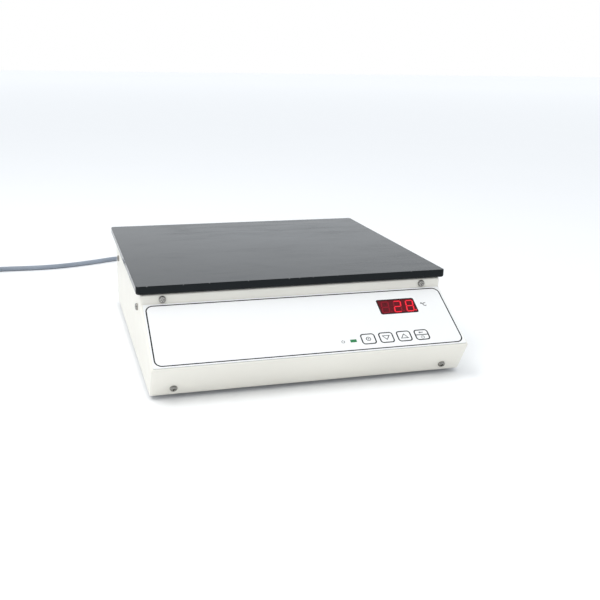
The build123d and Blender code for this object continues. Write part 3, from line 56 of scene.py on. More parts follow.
# The camera, as fitted to the photograph's edges: place, turn and focal length
CAMERA_PLACE = Vector((-0.2551, -0.9770, 0.3367))
CAMERA_PITCH = math.radians(16.19)
CAMERA_YAW = math.radians(16.77)
CAMERA_ROLL = math.radians(1.05)
FOCAL_PIXELS = 846.8
IMAGE_PIXELS = 600
SENSOR_MM = 36.0

# The sloping panel: its top fold and its nose, as (y, z), and the heights of what lies on it
FOLD = (-119.4, 82.4)
NOSE = (-200.0, 38.8)
FOIL_FACE = 1.0
WINDOW_FACE = 0.9
INK = 0.03

# Printed outline and keys on the panel, as mm across from the middle and down from the fold
OUTLINE = (0.0, 45.55, 331.6, 83.7)
OUTLINE_CORNER = 7.5
LINE = 1.4
WINDOW = (108.6, 28.2, 44.8, 22.7)
WINDOW_CORNER = 1.6
WINDOW_BORDER = 1.3
KEYS_ACROSS = (60.3, 80.8, 101.3, 121.8)
KEY_DOWN = 73.2
KEY_SIZE = (15.0, 13.8)
KEY_CORNER = 3.0
LED = (43.15, 74.35)
DEGREE = (138.2, 26.2)
UNIT = (141.9, 28.0)

# Printed symbols, in mm
SYMBOL_LINE = 0.8
RING, RING_DOT = 2.4, 0.8
ARROW_HALF, ARROW_SIDE, ARROW_HIGH = 3.9, 2.7, 5.6
SPLIT_LINE = 0.8 * LINE
SPLIT_STEP = 3.4  # from the split key's middle to its two symbols
THERMOMETER = 0.9
CLOCK, CLOCK_LINE = 1.9, 0.45
HANDS, HANDS_LINE = (1.2, 1.0), 0.4
DEGREE_RING, DEGREE_LINE = 0.85, 0.75
UNIT_ARC, UNIT_START, UNIT_SWEEP, UNIT_LINE = 2.1, 50, 260, 0.95
POWER_MARK = (LED[0] - 11.5, LED[1] + 0.2)
POWER_ARC, POWER_START, POWER_SWEEP = 1.7, -60, 300
POWER_STEM, POWER_LINE = (2.4, 0.4), 0.5

# Digits of the display
DIGIT_LEFTS = (89.6, 104.2, 118.7)
DIGIT_TOP = 19.8
DIGIT_WIDE = 9.6
DIGIT_HIGH = 17.7
DIGIT_SLANT = 0.17
SEGMENT = 1.5
SEGMENT_GAP = 0.2
DIGITS_LIT = ("", "abged", "abcdefg")
POINT_PLACE = (128.7, 35.6)
POINT_RADIUS = 1.0

# The white paper: how far it is lifted for what looks at it, near and far, and its own size
FLOOR_LIFT = 0.03
FAR_LIFT = 0.1
FLOOR_FADE = (1.5, 9.0)
FLOOR_REACH = 14.0
FLOOR_DROP = 0.0002

# Light
WORLD_FRONT = 0.82
WORLD_BACK = 1.06
LAMP_PLACE = (-0.8, -0.35, 1.8)
LAMP_TARGET = (0.0, 0.0, 0.05)
LAMP_SIZE = 1.0
LAMP_POWER = 13.0
LAMP_COLOUR = (1.0, 0.99, 0.97)
SKY_COLOUR = (0.93, 0.965, 1.0)
SKY_TURN = (-0.5, 0.6)  # from front to back, where the level changes

# Cord: the route of part.py, then the coil's turns, then the tail to the plug
CORD = 7.0 * MM
CORD_ROUTE = [
    (-82.0, 245.3, 34.0),
    (-82.0, 271.0, 34.0),
    (-81.0, 312.0, 13.5),
    (-81.5, 354.0, 3.5),
    (-82.0, 396.0, 3.5),
    (-106.0, 426.0, 3.5),
    (-144.5, 435.0, 3.5),
    (-200.0, 408.5, 3.5),
    (-258.0, 391.5, 3.5),
    (-328.0, 395.2, 3.5),
]
COIL_CENTRE = (-392.0, 352.0)
COIL_STAGES = ((42.0, 4.7), (35.0, 4.7), (35.0, 11.7), (42.0, 11.7))
COIL_JOGS = ((390, 445), (685, 740), (980, 1035))
COIL_CLIMB = (1275, 1335)
COIL_TOP_RISE = 60.0
COIL_OVER = (1330, 1400)
COIL_START = 90.0
COIL_END = 1620.0
COIL_STEP = 22.5
COIL_EASE = (20, 30)  # degrees, in and out of the crossing
TAIL = [(-430.5, 335.0, 18.5), (-430.5, 318.0, 18.5)]

# Moulded rings on the strain reliefs: start, radii at both ends and length
CONNECTOR_RELIEF = ((-82.0, 221.3, 34.0), (6.2, 4.6), 24)
PLUG_RELIEF = ((-430.5, 293.0, 18.5), (7.0, 5.0), 25)
RELIEF_RINGS = 7
RING_SHARE = 0.5
RING_STAND = 0.55
RING_SINK = 0.4
RING_BEVEL = 0.2
RING_STEPS = 40

# Mains switch: pivot, tilt at rest, and the rocker's face from its middle to its end
ROCKER_PIVOT = Vector((-36.0, 179.8, 34.0))
ROCKER_TILT = math.radians(10)
ROCKER_RIDGE = 3.8
ROCKER_FACE = math.atan2(2.6, 12.25)
MARK_LIFT = 0.02
MARK_BAR, MARK_BAR_LINE = (7.6, 4.4), 0.8
MARK_RING, MARK_RING_RADIUS, MARK_RING_LINE = 6.0, 1.7, 0.6

# Hot plate, in metres
PLATE_TOP = 0.103
PLATE_FRONT = -0.123
# Middle of the painted reflection: a lighter patch on the plate's top, where the back reflects more
# of the bright room
PAINTED_REFLECTION_MIDDLE = (0.05, 0.16, PLATE_TOP)


def smooth(value, low, high):
    """0 before low, 1 after high, and an easy curve between."""
    t = min(max((value - low) / (high - low), 0.0), 1.0)
    return t * t * (3 - 2 * t)


def mm(point):
    """A point given in millimetres, in metres."""
    return Vector(point) * MM


# Camera
def add_camera():
    """The photograph's camera."""
    cos_yaw, sin_yaw = math.cos(CAMERA_YAW), math.sin(CAMERA_YAW)
    cos_pitch, sin_pitch = math.cos(CAMERA_PITCH), math.sin(CAMERA_PITCH)
    ahead = Vector((sin_yaw * cos_pitch, cos_yaw * cos_pitch, -sin_pitch))
    right = Vector((cos_yaw, -sin_yaw, 0))
    up = right.cross(ahead)
    rolled_right = right * math.cos(CAMERA_ROLL) + up * math.sin(CAMERA_ROLL)
    rolled_up = up * math.cos(CAMERA_ROLL) - right * math.sin(CAMERA_ROLL)
    data = bpy.data.cameras.new("camera")
    data.sensor_fit = "HORIZONTAL"
    data.sensor_width = SENSOR_MM
    data.lens = FOCAL_PIXELS / IMAGE_PIXELS * SENSOR_MM
    data.clip_start = 0.01
    data.clip_end = 50
    camera = bpy.data.objects.new("camera", data)
    turn = Matrix((rolled_right, rolled_up, -ahead)).transposed().to_4x4()
    camera.matrix_world = Matrix.Translation(CAMERA_PLACE) @ turn
    bpy.context.scene.collection.objects.link(camera)
    bpy.context.scene.camera = camera


# Materials: one small builder, then one function for each kind of surface
class Surface:
    """A Principled material whose nodes read the row frame's own coordinates."""

    def __init__(self, name, colour, roughness, metallic=0.0, ior=1.5):
        self.material = bpy.data.materials.new(name)
        self.material.use_nodes = True
        self.tree = self.material.node_tree
        self.shader = self.tree.nodes["Principled BSDF"]
        self.shader.inputs["Base Color"].default_value = (*colour, 1)
        self.shader.inputs["Roughness"].default_value = roughness
        self.shader.inputs["Metallic"].default_value = metallic
        self.shader.inputs["IOR"].default_value = ior
        self.place = self.add("ShaderNodeTexCoord").outputs["Object"]
        self.colour = colour

    def add(self, kind, **inputs):
        """Adds a node and sets or links its inputs."""
        node = self.tree.nodes.new(kind)
        for key, value in inputs.items():
            self.feed(node.inputs[key], value)
        return node

    def feed(self, socket, value):
        """Links a node's output to a socket, or sets the socket's own value."""
        if isinstance(value, bpy.types.NodeSocket):
            self.tree.links.new(value, socket)
        else:
            socket.default_value = value

    def stretched(self, scale, turn=0.0):
        """Coordinates scaled by axis, so that a texture becomes streaks."""
        node = self.add("ShaderNodeMapping", Vector=self.place)
        node.inputs["Scale"].default_value = scale
        node.inputs["Rotation"].default_value = (0, 0, turn)
        return node.outputs[0]

    def noise(self, scale, detail=3.0, rough=0.5, place=None, distortion=0.0):
        """Noise with that many features to the metre, or to the unit of place."""
        node = self.add("ShaderNodeTexNoise", Vector=place or self.place)
        node.inputs["Scale"].default_value = scale
        node.inputs["Detail"].default_value = detail
        node.inputs["Roughness"].default_value = rough
        node.inputs["Distortion"].default_value = distortion
        return node.outputs["Fac"]

    def span(self, value, low, high, to_low=0.0, to_high=1.0):
        """value from low..high, mapped to to_low..to_high and held there outside."""
        node = self.add("ShaderNodeMapRange", Value=value)
        node.inputs["From Min"].default_value = low
        node.inputs["From Max"].default_value = high
        node.inputs["To Min"].default_value = to_low
        node.inputs["To Max"].default_value = to_high
        return node.outputs["Result"]

    def maths(self, operation, a, b=0.0):
        """One Math node."""
        node = self.tree.nodes.new("ShaderNodeMath")
        node.operation = operation
        self.feed(node.inputs[0], a)
        self.feed(node.inputs[1], b)
        return node.outputs[0]

    def mix(self, factor, first, second):
        """A mix of two colours."""
        node = self.tree.nodes.new("ShaderNodeMix")
        node.data_type = "RGBA"
        self.feed(node.inputs["Factor"], factor)
        for socket, value in ((node.inputs["A"], first), (node.inputs["B"], second)):
            self.feed(
                self.colour_socket(node, socket),
                value if isinstance(value, bpy.types.NodeSocket) else (*value, 1),
            )
        return self.colour_out(node)

    @staticmethod
    def colour_socket(node, socket):
        """The colour socket of a Mix node that has the same name as socket."""
        return next(s for s in node.inputs if s.name == socket.name and s.type == "RGBA")

    @staticmethod
    def colour_out(node):
        """The colour output of a Mix node."""
        return next(s for s in node.outputs if s.type == "RGBA")

    def axis(self, name):
        """One coordinate, X, Y or Z."""
        node = self.add("ShaderNodeSeparateXYZ", Vector=self.place)
        return node.outputs[name]

    def paint(self, colour):
        """Sets the base colour from nodes."""
        self.feed(self.shader.inputs["Base Color"], colour)

    def gloss(self, roughness):
        """Sets the roughness from nodes."""
        self.feed(self.shader.inputs["Roughness"], roughness)

    def bump(self, height, depth, strength=1.0, under=None):
        """Adds a bump of that depth in metres."""
        node = self.tree.nodes.new("ShaderNodeBump")
        node.inputs["Strength"].default_value = strength
        node.inputs["Distance"].default_value = depth
        self.feed(node.inputs["Height"], height)
        if under is not None:
            self.feed(node.inputs["Normal"], under)
        self.feed(self.shader.inputs["Normal"], node.outputs[0])
        return node.outputs[0]

    def shade(self, amount, factor):
        """The surface's colour, darker by amount where factor is 0."""
        darker = [channel * (1 - amount) for channel in self.colour]
        return self.mix(factor, darker, self.colour)


def painted_sheet():
    """Cream powder coat: fine orange peel, faint unevenness in tone and sheen."""
    s = Surface("cream_paint", (0.89, 0.865, 0.79), 0.42)
    s.paint(s.shade(0.035, s.span(s.noise(9, 2), 0.35, 0.65)))
    s.gloss(s.span(s.noise(40, 4), 0.3, 0.7, 0.36, 0.5))
    s.bump(s.noise(1100, 2, 0.6), 0.00006, 0.35)
    return s.material


def plate_coating():
    """Black hard coating with wiped smears, fine arcs of scratches, specks and edge nicks, and a
    painted reflection: a lighter patch round the back middle of the top.
    """
    black = (0.0028, 0.0042, 0.0056)
    s = Surface("black_coated_aluminium", black, 0.2, ior=1.29)
    s.shader.inputs["Sheen Weight"].default_value = 0.1
    s.shader.inputs["Sheen Roughness"].default_value = 0.28
    s.shader.inputs["Specular Tint"].default_value = (0.93, 1.0, 1.02, 1)
    cloud = s.noise(6, 4, 0.6, distortion=0.8)
    wipe = s.noise(1, 4, 0.6, s.stretched((8, 55, 30), math.radians(20)), 0.8)
    fine_wipe = s.noise(1, 4, 0.6, s.stretched((30, 420, 300), math.radians(14)), 0.3)
    smear = s.maths("MULTIPLY", s.span(cloud, 0.36, 0.66), s.span(wipe, 0.34, 0.66))
    rings = s.add("ShaderNodeTexWave", Vector=s.stretched((1, 1, 1)))
    rings.wave_type = "RINGS"
    rings.rings_direction = "Z"
    rings.inputs["Scale"].default_value = 62
    rings.inputs["Distortion"].default_value = 2.2
    rings.inputs["Detail"].default_value = 2
    rings.inputs["Detail Scale"].default_value = 3
    hairline = s.span(rings.outputs["Fac"], 0.985, 1.0)
    patches = s.span(s.noise(11, 2), 0.58, 0.68)
    scratch = s.maths("MULTIPLY", hairline, patches)
    speck = s.span(s.noise(420, 1), 0.79, 0.82)
    edge = s.span(s.axis("Z"), PLATE_TOP - 0.0008, PLATE_TOP - 0.0001)
    front = s.span(s.axis("Y"), PLATE_FRONT + 0.0008, PLATE_FRONT + 0.0002)
    chips = s.span(s.noise(260, 2), 0.66, 0.7)
    nick = s.maths("MULTIPLY", chips, s.maths("MULTIPLY", edge, front))
    top = s.span(s.axis("Z"), PLATE_TOP - 0.0004, PLATE_TOP - 0.0001)
    marks = s.maths("MULTIPLY", s.maths("MAXIMUM", scratch, speck), top)
    # Painted reflection: the top is painted a lighter grey round the back middle, where it reflects
    # more of the bright room; the wiped smears mixed in with it are real marks
    middle = s.add("ShaderNodeVectorMath", Vector=s.place)
    middle.operation = "DISTANCE"
    middle.inputs[1].default_value = PAINTED_REFLECTION_MIDDLE
    painted_reflection = s.span(middle.outputs["Value"], 0.28, 0.04, 0.0, 0.6)
    painted_reflection = s.maths("MULTIPLY", painted_reflection, s.span(s.noise(14, 4, 0.6), 0.3, 0.7, 0.6, 1.0))
    smear_and_painted_reflection = s.maths("MULTIPLY", s.maths("MAXIMUM", s.maths("MULTIPLY", smear, 0.35), painted_reflection), top)
    grey = s.mix(smear_and_painted_reflection, black, (0.04, 0.047, 0.054))
    marked = s.mix(s.maths("MULTIPLY", marks, 0.18), grey, (0.3, 0.31, 0.32))
    s.paint(s.mix(nick, marked, (0.3, 0.3, 0.3)))
    sheen = s.span(fine_wipe, 0.3, 0.7, 0.12, 0.2)
    s.gloss(s.maths("ADD", sheen, s.span(smear, 0.0, 1.0, 0.0, 0.14)))
    s.bump(s.noise(1800, 3, 0.6), 0.00002, 0.5)
    return s.material


def foil(name, colour):
    """Matt polyester foil with a very fine texture."""
    s = Surface(name, colour, 0.38)
    s.paint(s.shade(0.012, s.span(s.noise(14, 2), 0.35, 0.65)))
    s.gloss(s.span(s.noise(120, 3), 0.3, 0.7, 0.33, 0.42))
    s.bump(s.noise(2600, 2), 0.00001, 0.4)
    return s.material


def ink(name, colour):
    """Screen-print ink, slightly uneven."""
    s = Surface(name, colour, 0.5, ior=1.25)
    s.paint(s.shade(0.25, s.noise(500, 2)))
    s.gloss(s.span(s.noise(300, 2), 0.3, 0.7, 0.4, 0.5))
    s.bump(s.noise(1500, 2), 0.000005, 0.3)
    return s.material


def red_filter():
    """Dark red anti-glare acrylic, with a faint cloud of dirt on it."""
    s = Surface("red_filter", (0.13, 0.007, 0.013), 0.3, ior=1.2)
    s.paint(s.shade(0.15, s.noise(60, 2)))
    s.gloss(s.span(s.noise(150, 3), 0.3, 0.7, 0.26, 0.34))
    s.bump(s.noise(800, 1), 0.000004, 0.2)
    return s.material


def lit(name, colour, strength, glow=None):
    """A lit lens or segment, glowing a little unevenly; it also gives the unlit segments a faint
    painted glow.
    """
    s = Surface(name, colour, 0.4, ior=1.2)
    s.paint(s.shade(0.1, s.noise(300, 2)))
    s.shader.inputs["Emission Color"].default_value = (*(glow or colour), 1)
    s.feed(
        s.shader.inputs["Emission Strength"],
        s.span(s.noise(700, 1), 0.3, 0.7, strength * 0.88, strength * 1.08),
    )
    return s.material


def moulded(name, colour, roughness=0.5, grain=1400, depth=0.00003):
    """Moulded plastic or rubber with a spark-eroded grain."""
    s = Surface(name, colour, roughness)
    s.paint(s.shade(0.14, s.span(s.noise(50, 3), 0.3, 0.7)))
    s.gloss(s.span(s.noise(90, 3), 0.3, 0.7, roughness - 0.06, roughness + 0.06))
    s.bump(s.noise(grain, 2, 0.6), depth, 0.5)
    return s.material


def cable_sheath():
    """Grey PVC sheath: faint long streaks, a little dull from handling."""
    s = Surface("grey_pvc", (0.29, 0.33, 0.39), 0.42)
    s.paint(s.shade(0.16, s.span(s.noise(35, 4), 0.3, 0.7)))
    s.gloss(s.span(s.noise(80, 3), 0.3, 0.7, 0.36, 0.5))
    s.bump(s.noise(900, 3, 0.6), 0.00003, 0.4)
    return s.material


def plated(name, colour, roughness=0.28, streak=(900, 900, 60)):
    """Plated or rolled metal with fine streaks and a dull tarnish in patches."""
    s = Surface(name, colour, roughness, metallic=1.0)
    tarnish = s.span(s.noise(150, 4), 0.35, 0.7)
    s.paint(s.shade(0.35, tarnish))
    streaks = s.noise(1, 3, 0.5, s.stretched(streak))
    s.gloss(s.span(streaks, 0.3, 0.7, roughness - 0.08, roughness + 0.12))
    s.bump(s.noise(1, 2, 0.5, s.stretched(streak)), 0.00001, 0.3)
    return s.material


def spangled_zinc():
    """Zinc-plated sheet with its crystal pattern."""
    s = Surface("zinc_plated_sheet", (0.56, 0.57, 0.58), 0.36, metallic=1.0)
    cells = s.add("ShaderNodeTexVoronoi", Vector=s.place)
    cells.inputs["Scale"].default_value = 160
    tone = cells.outputs["Color"]
    grain = s.add("ShaderNodeSeparateXYZ", Vector=tone).outputs["X"]
    s.paint(s.shade(0.22, grain))
    s.gloss(s.span(grain, 0.0, 1.0, 0.28, 0.46))
    s.bump(s.noise(700, 2), 0.00001, 0.3)
    return s.material


def fibre_board():
    """Mineral-fibre board: tangled short fibres."""
    s = Surface("mineral_fibre", (0.7, 0.64, 0.5), 0.95)
    strands = s.noise(1, 5, 0.7, s.stretched((300, 90, 300), 0.5), 1.5)
    s.paint(s.shade(0.3, strands))
    s.bump(strands, 0.0004, 0.8)
    return s.material


def woven(name, colour):
    """A woven strip: crossed threads, about half a millimetre apart."""
    s = Surface(name, colour, 0.85)
    wave = s.add("ShaderNodeTexWave", Vector=s.place)
    wave.inputs["Scale"].default_value = 340
    wave.bands_direction = "Z"
    cross = s.add("ShaderNodeTexWave", Vector=s.place)
    cross.inputs["Scale"].default_value = 340
    cross.bands_direction = "X"
    threads = s.maths("MAXIMUM", wave.outputs["Fac"], cross.outputs["Fac"])
    s.paint(s.shade(0.4, threads))
    s.bump(threads, 0.0002, 0.6)
    return s.material


def clear_glass():
    """The fuse's glass tube."""
    s = Surface("fuse_glass", (0.9, 0.95, 0.95), 0.05)
    s.shader.inputs["Transmission Weight"].default_value = 0.9
    s.gloss(s.span(s.noise(200, 2), 0.3, 0.7, 0.03, 0.08))
    return s.material


def slot_materials():
    """One material for each slot of the record."""
    return {
        "black_coated_aluminium": plate_coating(),
        "silicone_rubber": moulded("silicone_rubber", (0.5, 0.12, 0.05), 0.6),
        "mineral_fibre": fibre_board(),
        "zinc_plated_sheet": spangled_zinc(),
        "ceramic": moulded("ceramic", (0.8, 0.77, 0.7), 0.7, 900),
        "screw_steel": plated("screw_steel", (0.38, 0.37, 0.35), 0.12),
        "bare_aluminium": plated("bare_aluminium", (0.72, 0.73, 0.74), 0.34),
        "dark_plastic": moulded("dark_plastic", (0.022, 0.022, 0.024), 0.42),
        "cream_paint": painted_sheet(),
        "membrane": foil("membrane", (0.5, 0.52, 0.5)),
        "overlay_foil": foil("overlay_foil", (0.93, 0.93, 0.925)),
        "red_filter": red_filter(),
        "circuit_board": moulded("circuit_board", (0.03, 0.17, 0.07), 0.4, 500),
        "display_module": moulded("display_module", (0.03, 0.03, 0.03), 0.5),
        "green_led": lit("green_led", (0.03, 0.16, 0.06), 0.16, (0.1, 0.55, 0.25)),
        "brass_spacer": plated("brass_spacer", (0.7, 0.54, 0.26)),
        "rubber": moulded("rubber", (0.025, 0.025, 0.026), 0.75, 700, 0.00006),
        "green_plastic": moulded("green_plastic", (0.04, 0.25, 0.09), 0.45),
        "pin_brass": plated("pin_brass", (0.72, 0.7, 0.64), 0.22),
        "fuse_glass": clear_glass(),
        "wire_pvc": moulded("wire_pvc", (0.12, 0.07, 0.04), 0.4),
        "ribbon_pvc": moulded("ribbon_pvc", (0.4, 0.41, 0.43), 0.5),
        "grey_pvc": cable_sheath(),
        "tie_strip": woven("tie_strip", (0.03, 0.03, 0.032)),
    }


# Mesh helpers
def show(name, mesh, material, body="base"):
    """A finished piece: linked, painted, riding on a body."""
    piece = bpy.data.objects.new(name, mesh)
    bpy.context.scene.collection.objects.link(piece)
    mesh.materials.append(material)
    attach(piece, body)
    return piece


def rounded_loop(across, down, wide, high, radius, steps=8):
    """Points round a rectangle with rounded corners, as (across, down)."""
    points = []
    corners = ((1, -1, -90), (1, 1, 0), (-1, 1, 90), (-1, -1, 180))
    for side, end, start in corners:
        centre_x = across + side * (wide / 2 - radius)
        centre_y = down + end * (high / 2 - radius)
        for step in range(steps + 1):
            angle = math.radians(start + 90 * step / steps)
            points.append(
                (centre_x + radius * math.cos(angle), centre_y + radius * math.sin(angle))
            )
    return points


def circle_loop(across, down, radius, start=0.0, sweep=360.0, steps=24):
    """Points on a circle or an arc, as (across, down)."""
    count = steps if sweep >= 360 else steps + 1
    return [
        (
            across + radius * math.cos(math.radians(start + sweep * step / steps)),
            down + radius * math.sin(math.radians(start + sweep * step / steps)),
        )
        for step in range(count)
    ]


def stroke(points, width, closed=False):
    """A filled outline of a line through points, with mitred corners."""
    count = len(points)
    left, right = [], []
    for i, point in enumerate(points):
        here = Vector(point)
        before = Vector(points[i - 1]) if closed or i > 0 else here
        after = Vector(points[(i + 1) % count]) if closed or i < count - 1 else here
        run_in = (here - before).normalized() if here != before else (after - here).normalized()
        run_out = (after - here).normalized() if after != here else run_in
        normal = Vector((-(run_in + run_out).y, (run_in + run_out).x)).normalized()
        reach = width / 2 / max(normal.dot(Vector((-run_in.y, run_in.x))), 0.3)
        left.append(here + normal * reach)
        right.append(here - normal * reach)
    return left, right


class Print:
    """Thin closed shapes on a plane, gathered into one mesh."""

    def __init__(self, to_space):
        self.mesh = bmesh.new()
        self.to_space = to_space

    def band(self, first, second, closed, base, thick):
        """A ribbon between two rows of points."""
        count = len(first)
        rows = []
        for height in (base, base + thick):
            rows.append([self.mesh.verts.new(self.to_space(x, y, height)) for x, y in first])
            rows.append([self.mesh.verts.new(self.to_space(x, y, height)) for x, y in second])
        low_a, low_b, top_a, top_b = rows
        last = count if closed else count - 1
        for i in range(last):
            j = (i + 1) % count
            self.mesh.faces.new((top_a[i], top_a[j], top_b[j], top_b[i]))
            self.mesh.faces.new((low_a[i], low_b[i], low_b[j], low_a[j]))
            self.mesh.faces.new((low_a[i], low_a[j], top_a[j], top_a[i]))
            self.mesh.faces.new((low_b[i], top_b[i], top_b[j], low_b[j]))
        if not closed:
            for i in (0, count - 1):
                self.mesh.faces.new((low_a[i], top_a[i], top_b[i], low_b[i]))

    def line(self, points, width, closed, base, thick=INK):
        """A line of that width through points."""
        left, right = stroke(points, width, closed)
        self.band(left, right, closed, base, thick)

    def fill(self, points, base, thick=INK):
        """A filled outline."""
        low = [self.mesh.verts.new(self.to_space(x, y, base)) for x, y in points]
        top = [self.mesh.verts.new(self.to_space(x, y, base + thick)) for x, y in points]
        count = len(points)
        self.mesh.faces.new(top)
        self.mesh.faces.new(low[::-1])
        for i in range(count):
            j = (i + 1) % count
            self.mesh.faces.new((low[i], low[j], top[j], top[i]))

    def finish(self, name):
        """The mesh, with its faces turned outwards."""
        bmesh.ops.recalc_face_normals(self.mesh, faces=self.mesh.faces)
        mesh = bpy.data.meshes.new(name)
        self.mesh.to_mesh(mesh)
        self.mesh.free()
        return mesh


def panel_point(across, down, height):
    """A place on the sloping panel, from mm across, down and above its sheet."""
    run = Vector((0, NOSE[0] - FOLD[0], NOSE[1] - FOLD[1])).normalized()
    out = Vector((0, run.z, -run.y))
    return (Vector((across, *FOLD)) + run * down + out * height) * MM


# Panel print
def panel_print(materials):
    """The black outline, the window's border, the keys and their plain symbols."""
    art = Print(panel_point)

    def line(points, width, closed=True):
        art.line(points, width, closed, FOIL_FACE)

    line(rounded_loop(*OUTLINE, OUTLINE_CORNER, 10), LINE)
    border = (*WINDOW[:2], WINDOW[2] - WINDOW_BORDER, WINDOW[3] - WINDOW_BORDER)
    line(rounded_loop(*border, WINDOW_CORNER, 6), WINDOW_BORDER)
    for across in KEYS_ACROSS:
        line(rounded_loop(across, KEY_DOWN, *KEY_SIZE, KEY_CORNER, 6), LINE)
    ring_key, down_key, up_key, split_key = KEYS_ACROSS
    line(circle_loop(ring_key, KEY_DOWN, RING), SYMBOL_LINE)
    art.fill(circle_loop(ring_key, KEY_DOWN, RING_DOT, steps=16), FOIL_FACE)
    for across, point in ((down_key, 1), (up_key, -1)):
        base = KEY_DOWN - point * ARROW_SIDE
        corners = [(across - ARROW_HALF, base), (across + ARROW_HALF, base)]
        line([*corners, (across, base + point * ARROW_HIGH)], SYMBOL_LINE)
    half = (KEY_SIZE[0] - LINE) / 2
    line([(split_key - half, KEY_DOWN), (split_key + half, KEY_DOWN)], SPLIT_LINE, False)
    thermometer(art, split_key, KEY_DOWN - SPLIT_STEP, THERMOMETER)
    clock = KEY_DOWN + SPLIT_STEP
    line(circle_loop(split_key, clock, CLOCK, steps=20), CLOCK_LINE)
    hands = [(split_key, clock - HANDS[0]), (split_key, clock), (split_key + HANDS[1], clock)]
    line(hands, HANDS_LINE, False)
    line(circle_loop(*DEGREE, DEGREE_RING, steps=16), DEGREE_LINE)
    line(circle_loop(*UNIT, UNIT_ARC, UNIT_START, UNIT_SWEEP), UNIT_LINE, False)
    across, down = POWER_MARK
    line(circle_loop(across, down, POWER_ARC, POWER_START, POWER_SWEEP), POWER_LINE, False)
    line([(across, down - POWER_STEM[0]), (across, down - POWER_STEM[1])], POWER_LINE, False)
    show("panel_print", art.finish("panel_print"), materials["ink"])


def thermometer(art, across, down, size):
    """A plain thermometer symbol that lies on its side: a bulb and a stem."""
    bulb = (across - 1.7 * size, down)
    tip = (across + 2.6 * size, down)
    art.fill(circle_loop(*bulb, 1.15 * size, steps=18), FOIL_FACE)
    art.line([bulb, tip], 0.95 * size, False, FOIL_FACE + INK)


# Display digits
def segment_shapes():
    """Outlines of the seven segments of a digit, keyed a to g, from its top left."""
    wide, high, half = DIGIT_WIDE - SEGMENT, (DIGIT_HIGH - SEGMENT) / 2, SEGMENT / 2
    left, right, top = half, half + wide, half
    middle, bottom = half + high, half + 2 * high
    ends = {
        "a": ((left, top), (right, top)),
        "b": ((right, top), (right, middle)),
        "c": ((right, middle), (right, bottom)),
        "d": ((left, bottom), (right, bottom)),
        "e": ((left, middle), (left, bottom)),
        "f": ((left, top), (left, middle)),
        "g": ((left, middle), (right, middle)),
    }
    shapes = {}
    for key, (start, end) in ends.items():
        start, end = Vector(start), Vector(end)
        along = (end - start).normalized()
        across = Vector((-along.y, along.x)) * half
        first, last = start + along * SEGMENT_GAP, end - along * SEGMENT_GAP
        shapes[key] = [
            first,
            first + along * half + across,
            last - along * half + across,
            last,
            last - along * half - across,
            first + along * half - across,
        ]
    return shapes


def display(materials):
    """The digits behind the window: lit segments, and the unlit ones just showing by a faint
    painted glow.
    """
    shapes = segment_shapes()
    lit_art, dark_art = Print(panel_point), Print(panel_point)
    for left, on in zip(DIGIT_LEFTS, DIGITS_LIT):
        for key, outline in shapes.items():
            points = [
                (left + x + (DIGIT_HIGH / 2 - y) * DIGIT_SLANT, DIGIT_TOP + y) for x, y in outline
            ]
            (lit_art if key in on else dark_art).fill(points, WINDOW_FACE, INK)
    lit_art.fill(circle_loop(*POINT_PLACE, POINT_RADIUS, steps=18), WINDOW_FACE, INK)
    for left in DIGIT_LEFTS[:2]:
        point = (left + POINT_PLACE[0] - DIGIT_LEFTS[2], POINT_PLACE[1])
        dark_art.fill(circle_loop(*point, POINT_RADIUS, steps=18), WINDOW_FACE, INK)
    show("digits_lit", lit_art.finish("digits_lit"), materials["segment_lit"])
    show("digits_unlit_painted_glow", dark_art.finish("digits_unlit_painted_glow"), materials["segment_unlit_painted_glow"])


# Cord
def coil_point(angle):
    """Where the cord's middle is, at that angle along its turns."""
    radius, height = COIL_STAGES[0]
    for (low, high), (next_radius, next_height) in zip(COIL_JOGS, COIL_STAGES[1:]):
        t = smooth(angle, low, high)
        radius += (next_radius - radius) * t
        height += (next_height - height) * t
    if angle > COIL_CLIMB[0]:
        climb = math.radians(COIL_TOP_RISE) * smooth(angle, *COIL_CLIMB)
        inner, pitch = COIL_STAGES[1][0], COIL_STAGES[0][0] - COIL_STAGES[1][0]
        radius = inner + pitch * math.cos(climb)
        height = COIL_STAGES[3][1] + pitch * math.sin(climb)
        over = smooth(angle, COIL_OVER[0] - COIL_EASE[0], COIL_OVER[0])
        over *= 1 - smooth(angle, COIL_OVER[1], COIL_OVER[1] + COIL_EASE[1])
        height += over * pitch * (1 - math.sin(math.radians(COIL_TOP_RISE)))
    # A quadratic spline runs inside its control points, so they lie a little further out
    reach = radius / (0.75 + 0.25 * math.cos(math.radians(COIL_STEP)))
    turn = math.radians(angle)
    return (
        COIL_CENTRE[0] + reach * math.cos(turn),
        COIL_CENTRE[1] + reach * math.sin(turn),
        height,
    )


def add_cord(materials):
    """The mains lead: one smooth curve from its connector, through the coil, to the plug."""
    points = list(CORD_ROUTE)
    turns = round((COIL_END - COIL_START) / COIL_STEP)
    points += [coil_point(COIL_START + COIL_STEP * i) for i in range(turns + 1)]
    points += TAIL
    curve = bpy.data.curves.new("mains_cord", "CURVE")
    curve.dimensions = "3D"
    curve.bevel_depth = CORD / 2
    curve.bevel_resolution = 5
    curve.resolution_u = 8
    curve.use_fill_caps = True
    spline = curve.splines.new("NURBS")
    spline.points.add(len(points) - 1)
    for slot, point in zip(spline.points, points):
        slot.co = (*mm(point), 1)
    spline.order_u = 3
    spline.use_endpoint_u = True
    curve.materials.append(materials["grey_pvc"])
    piece = bpy.data.objects.new("mains_cord", curve)
    bpy.context.scene.collection.objects.link(piece)
    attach(piece, "base")
    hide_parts("cord", "cord_coil", "cord_tail")


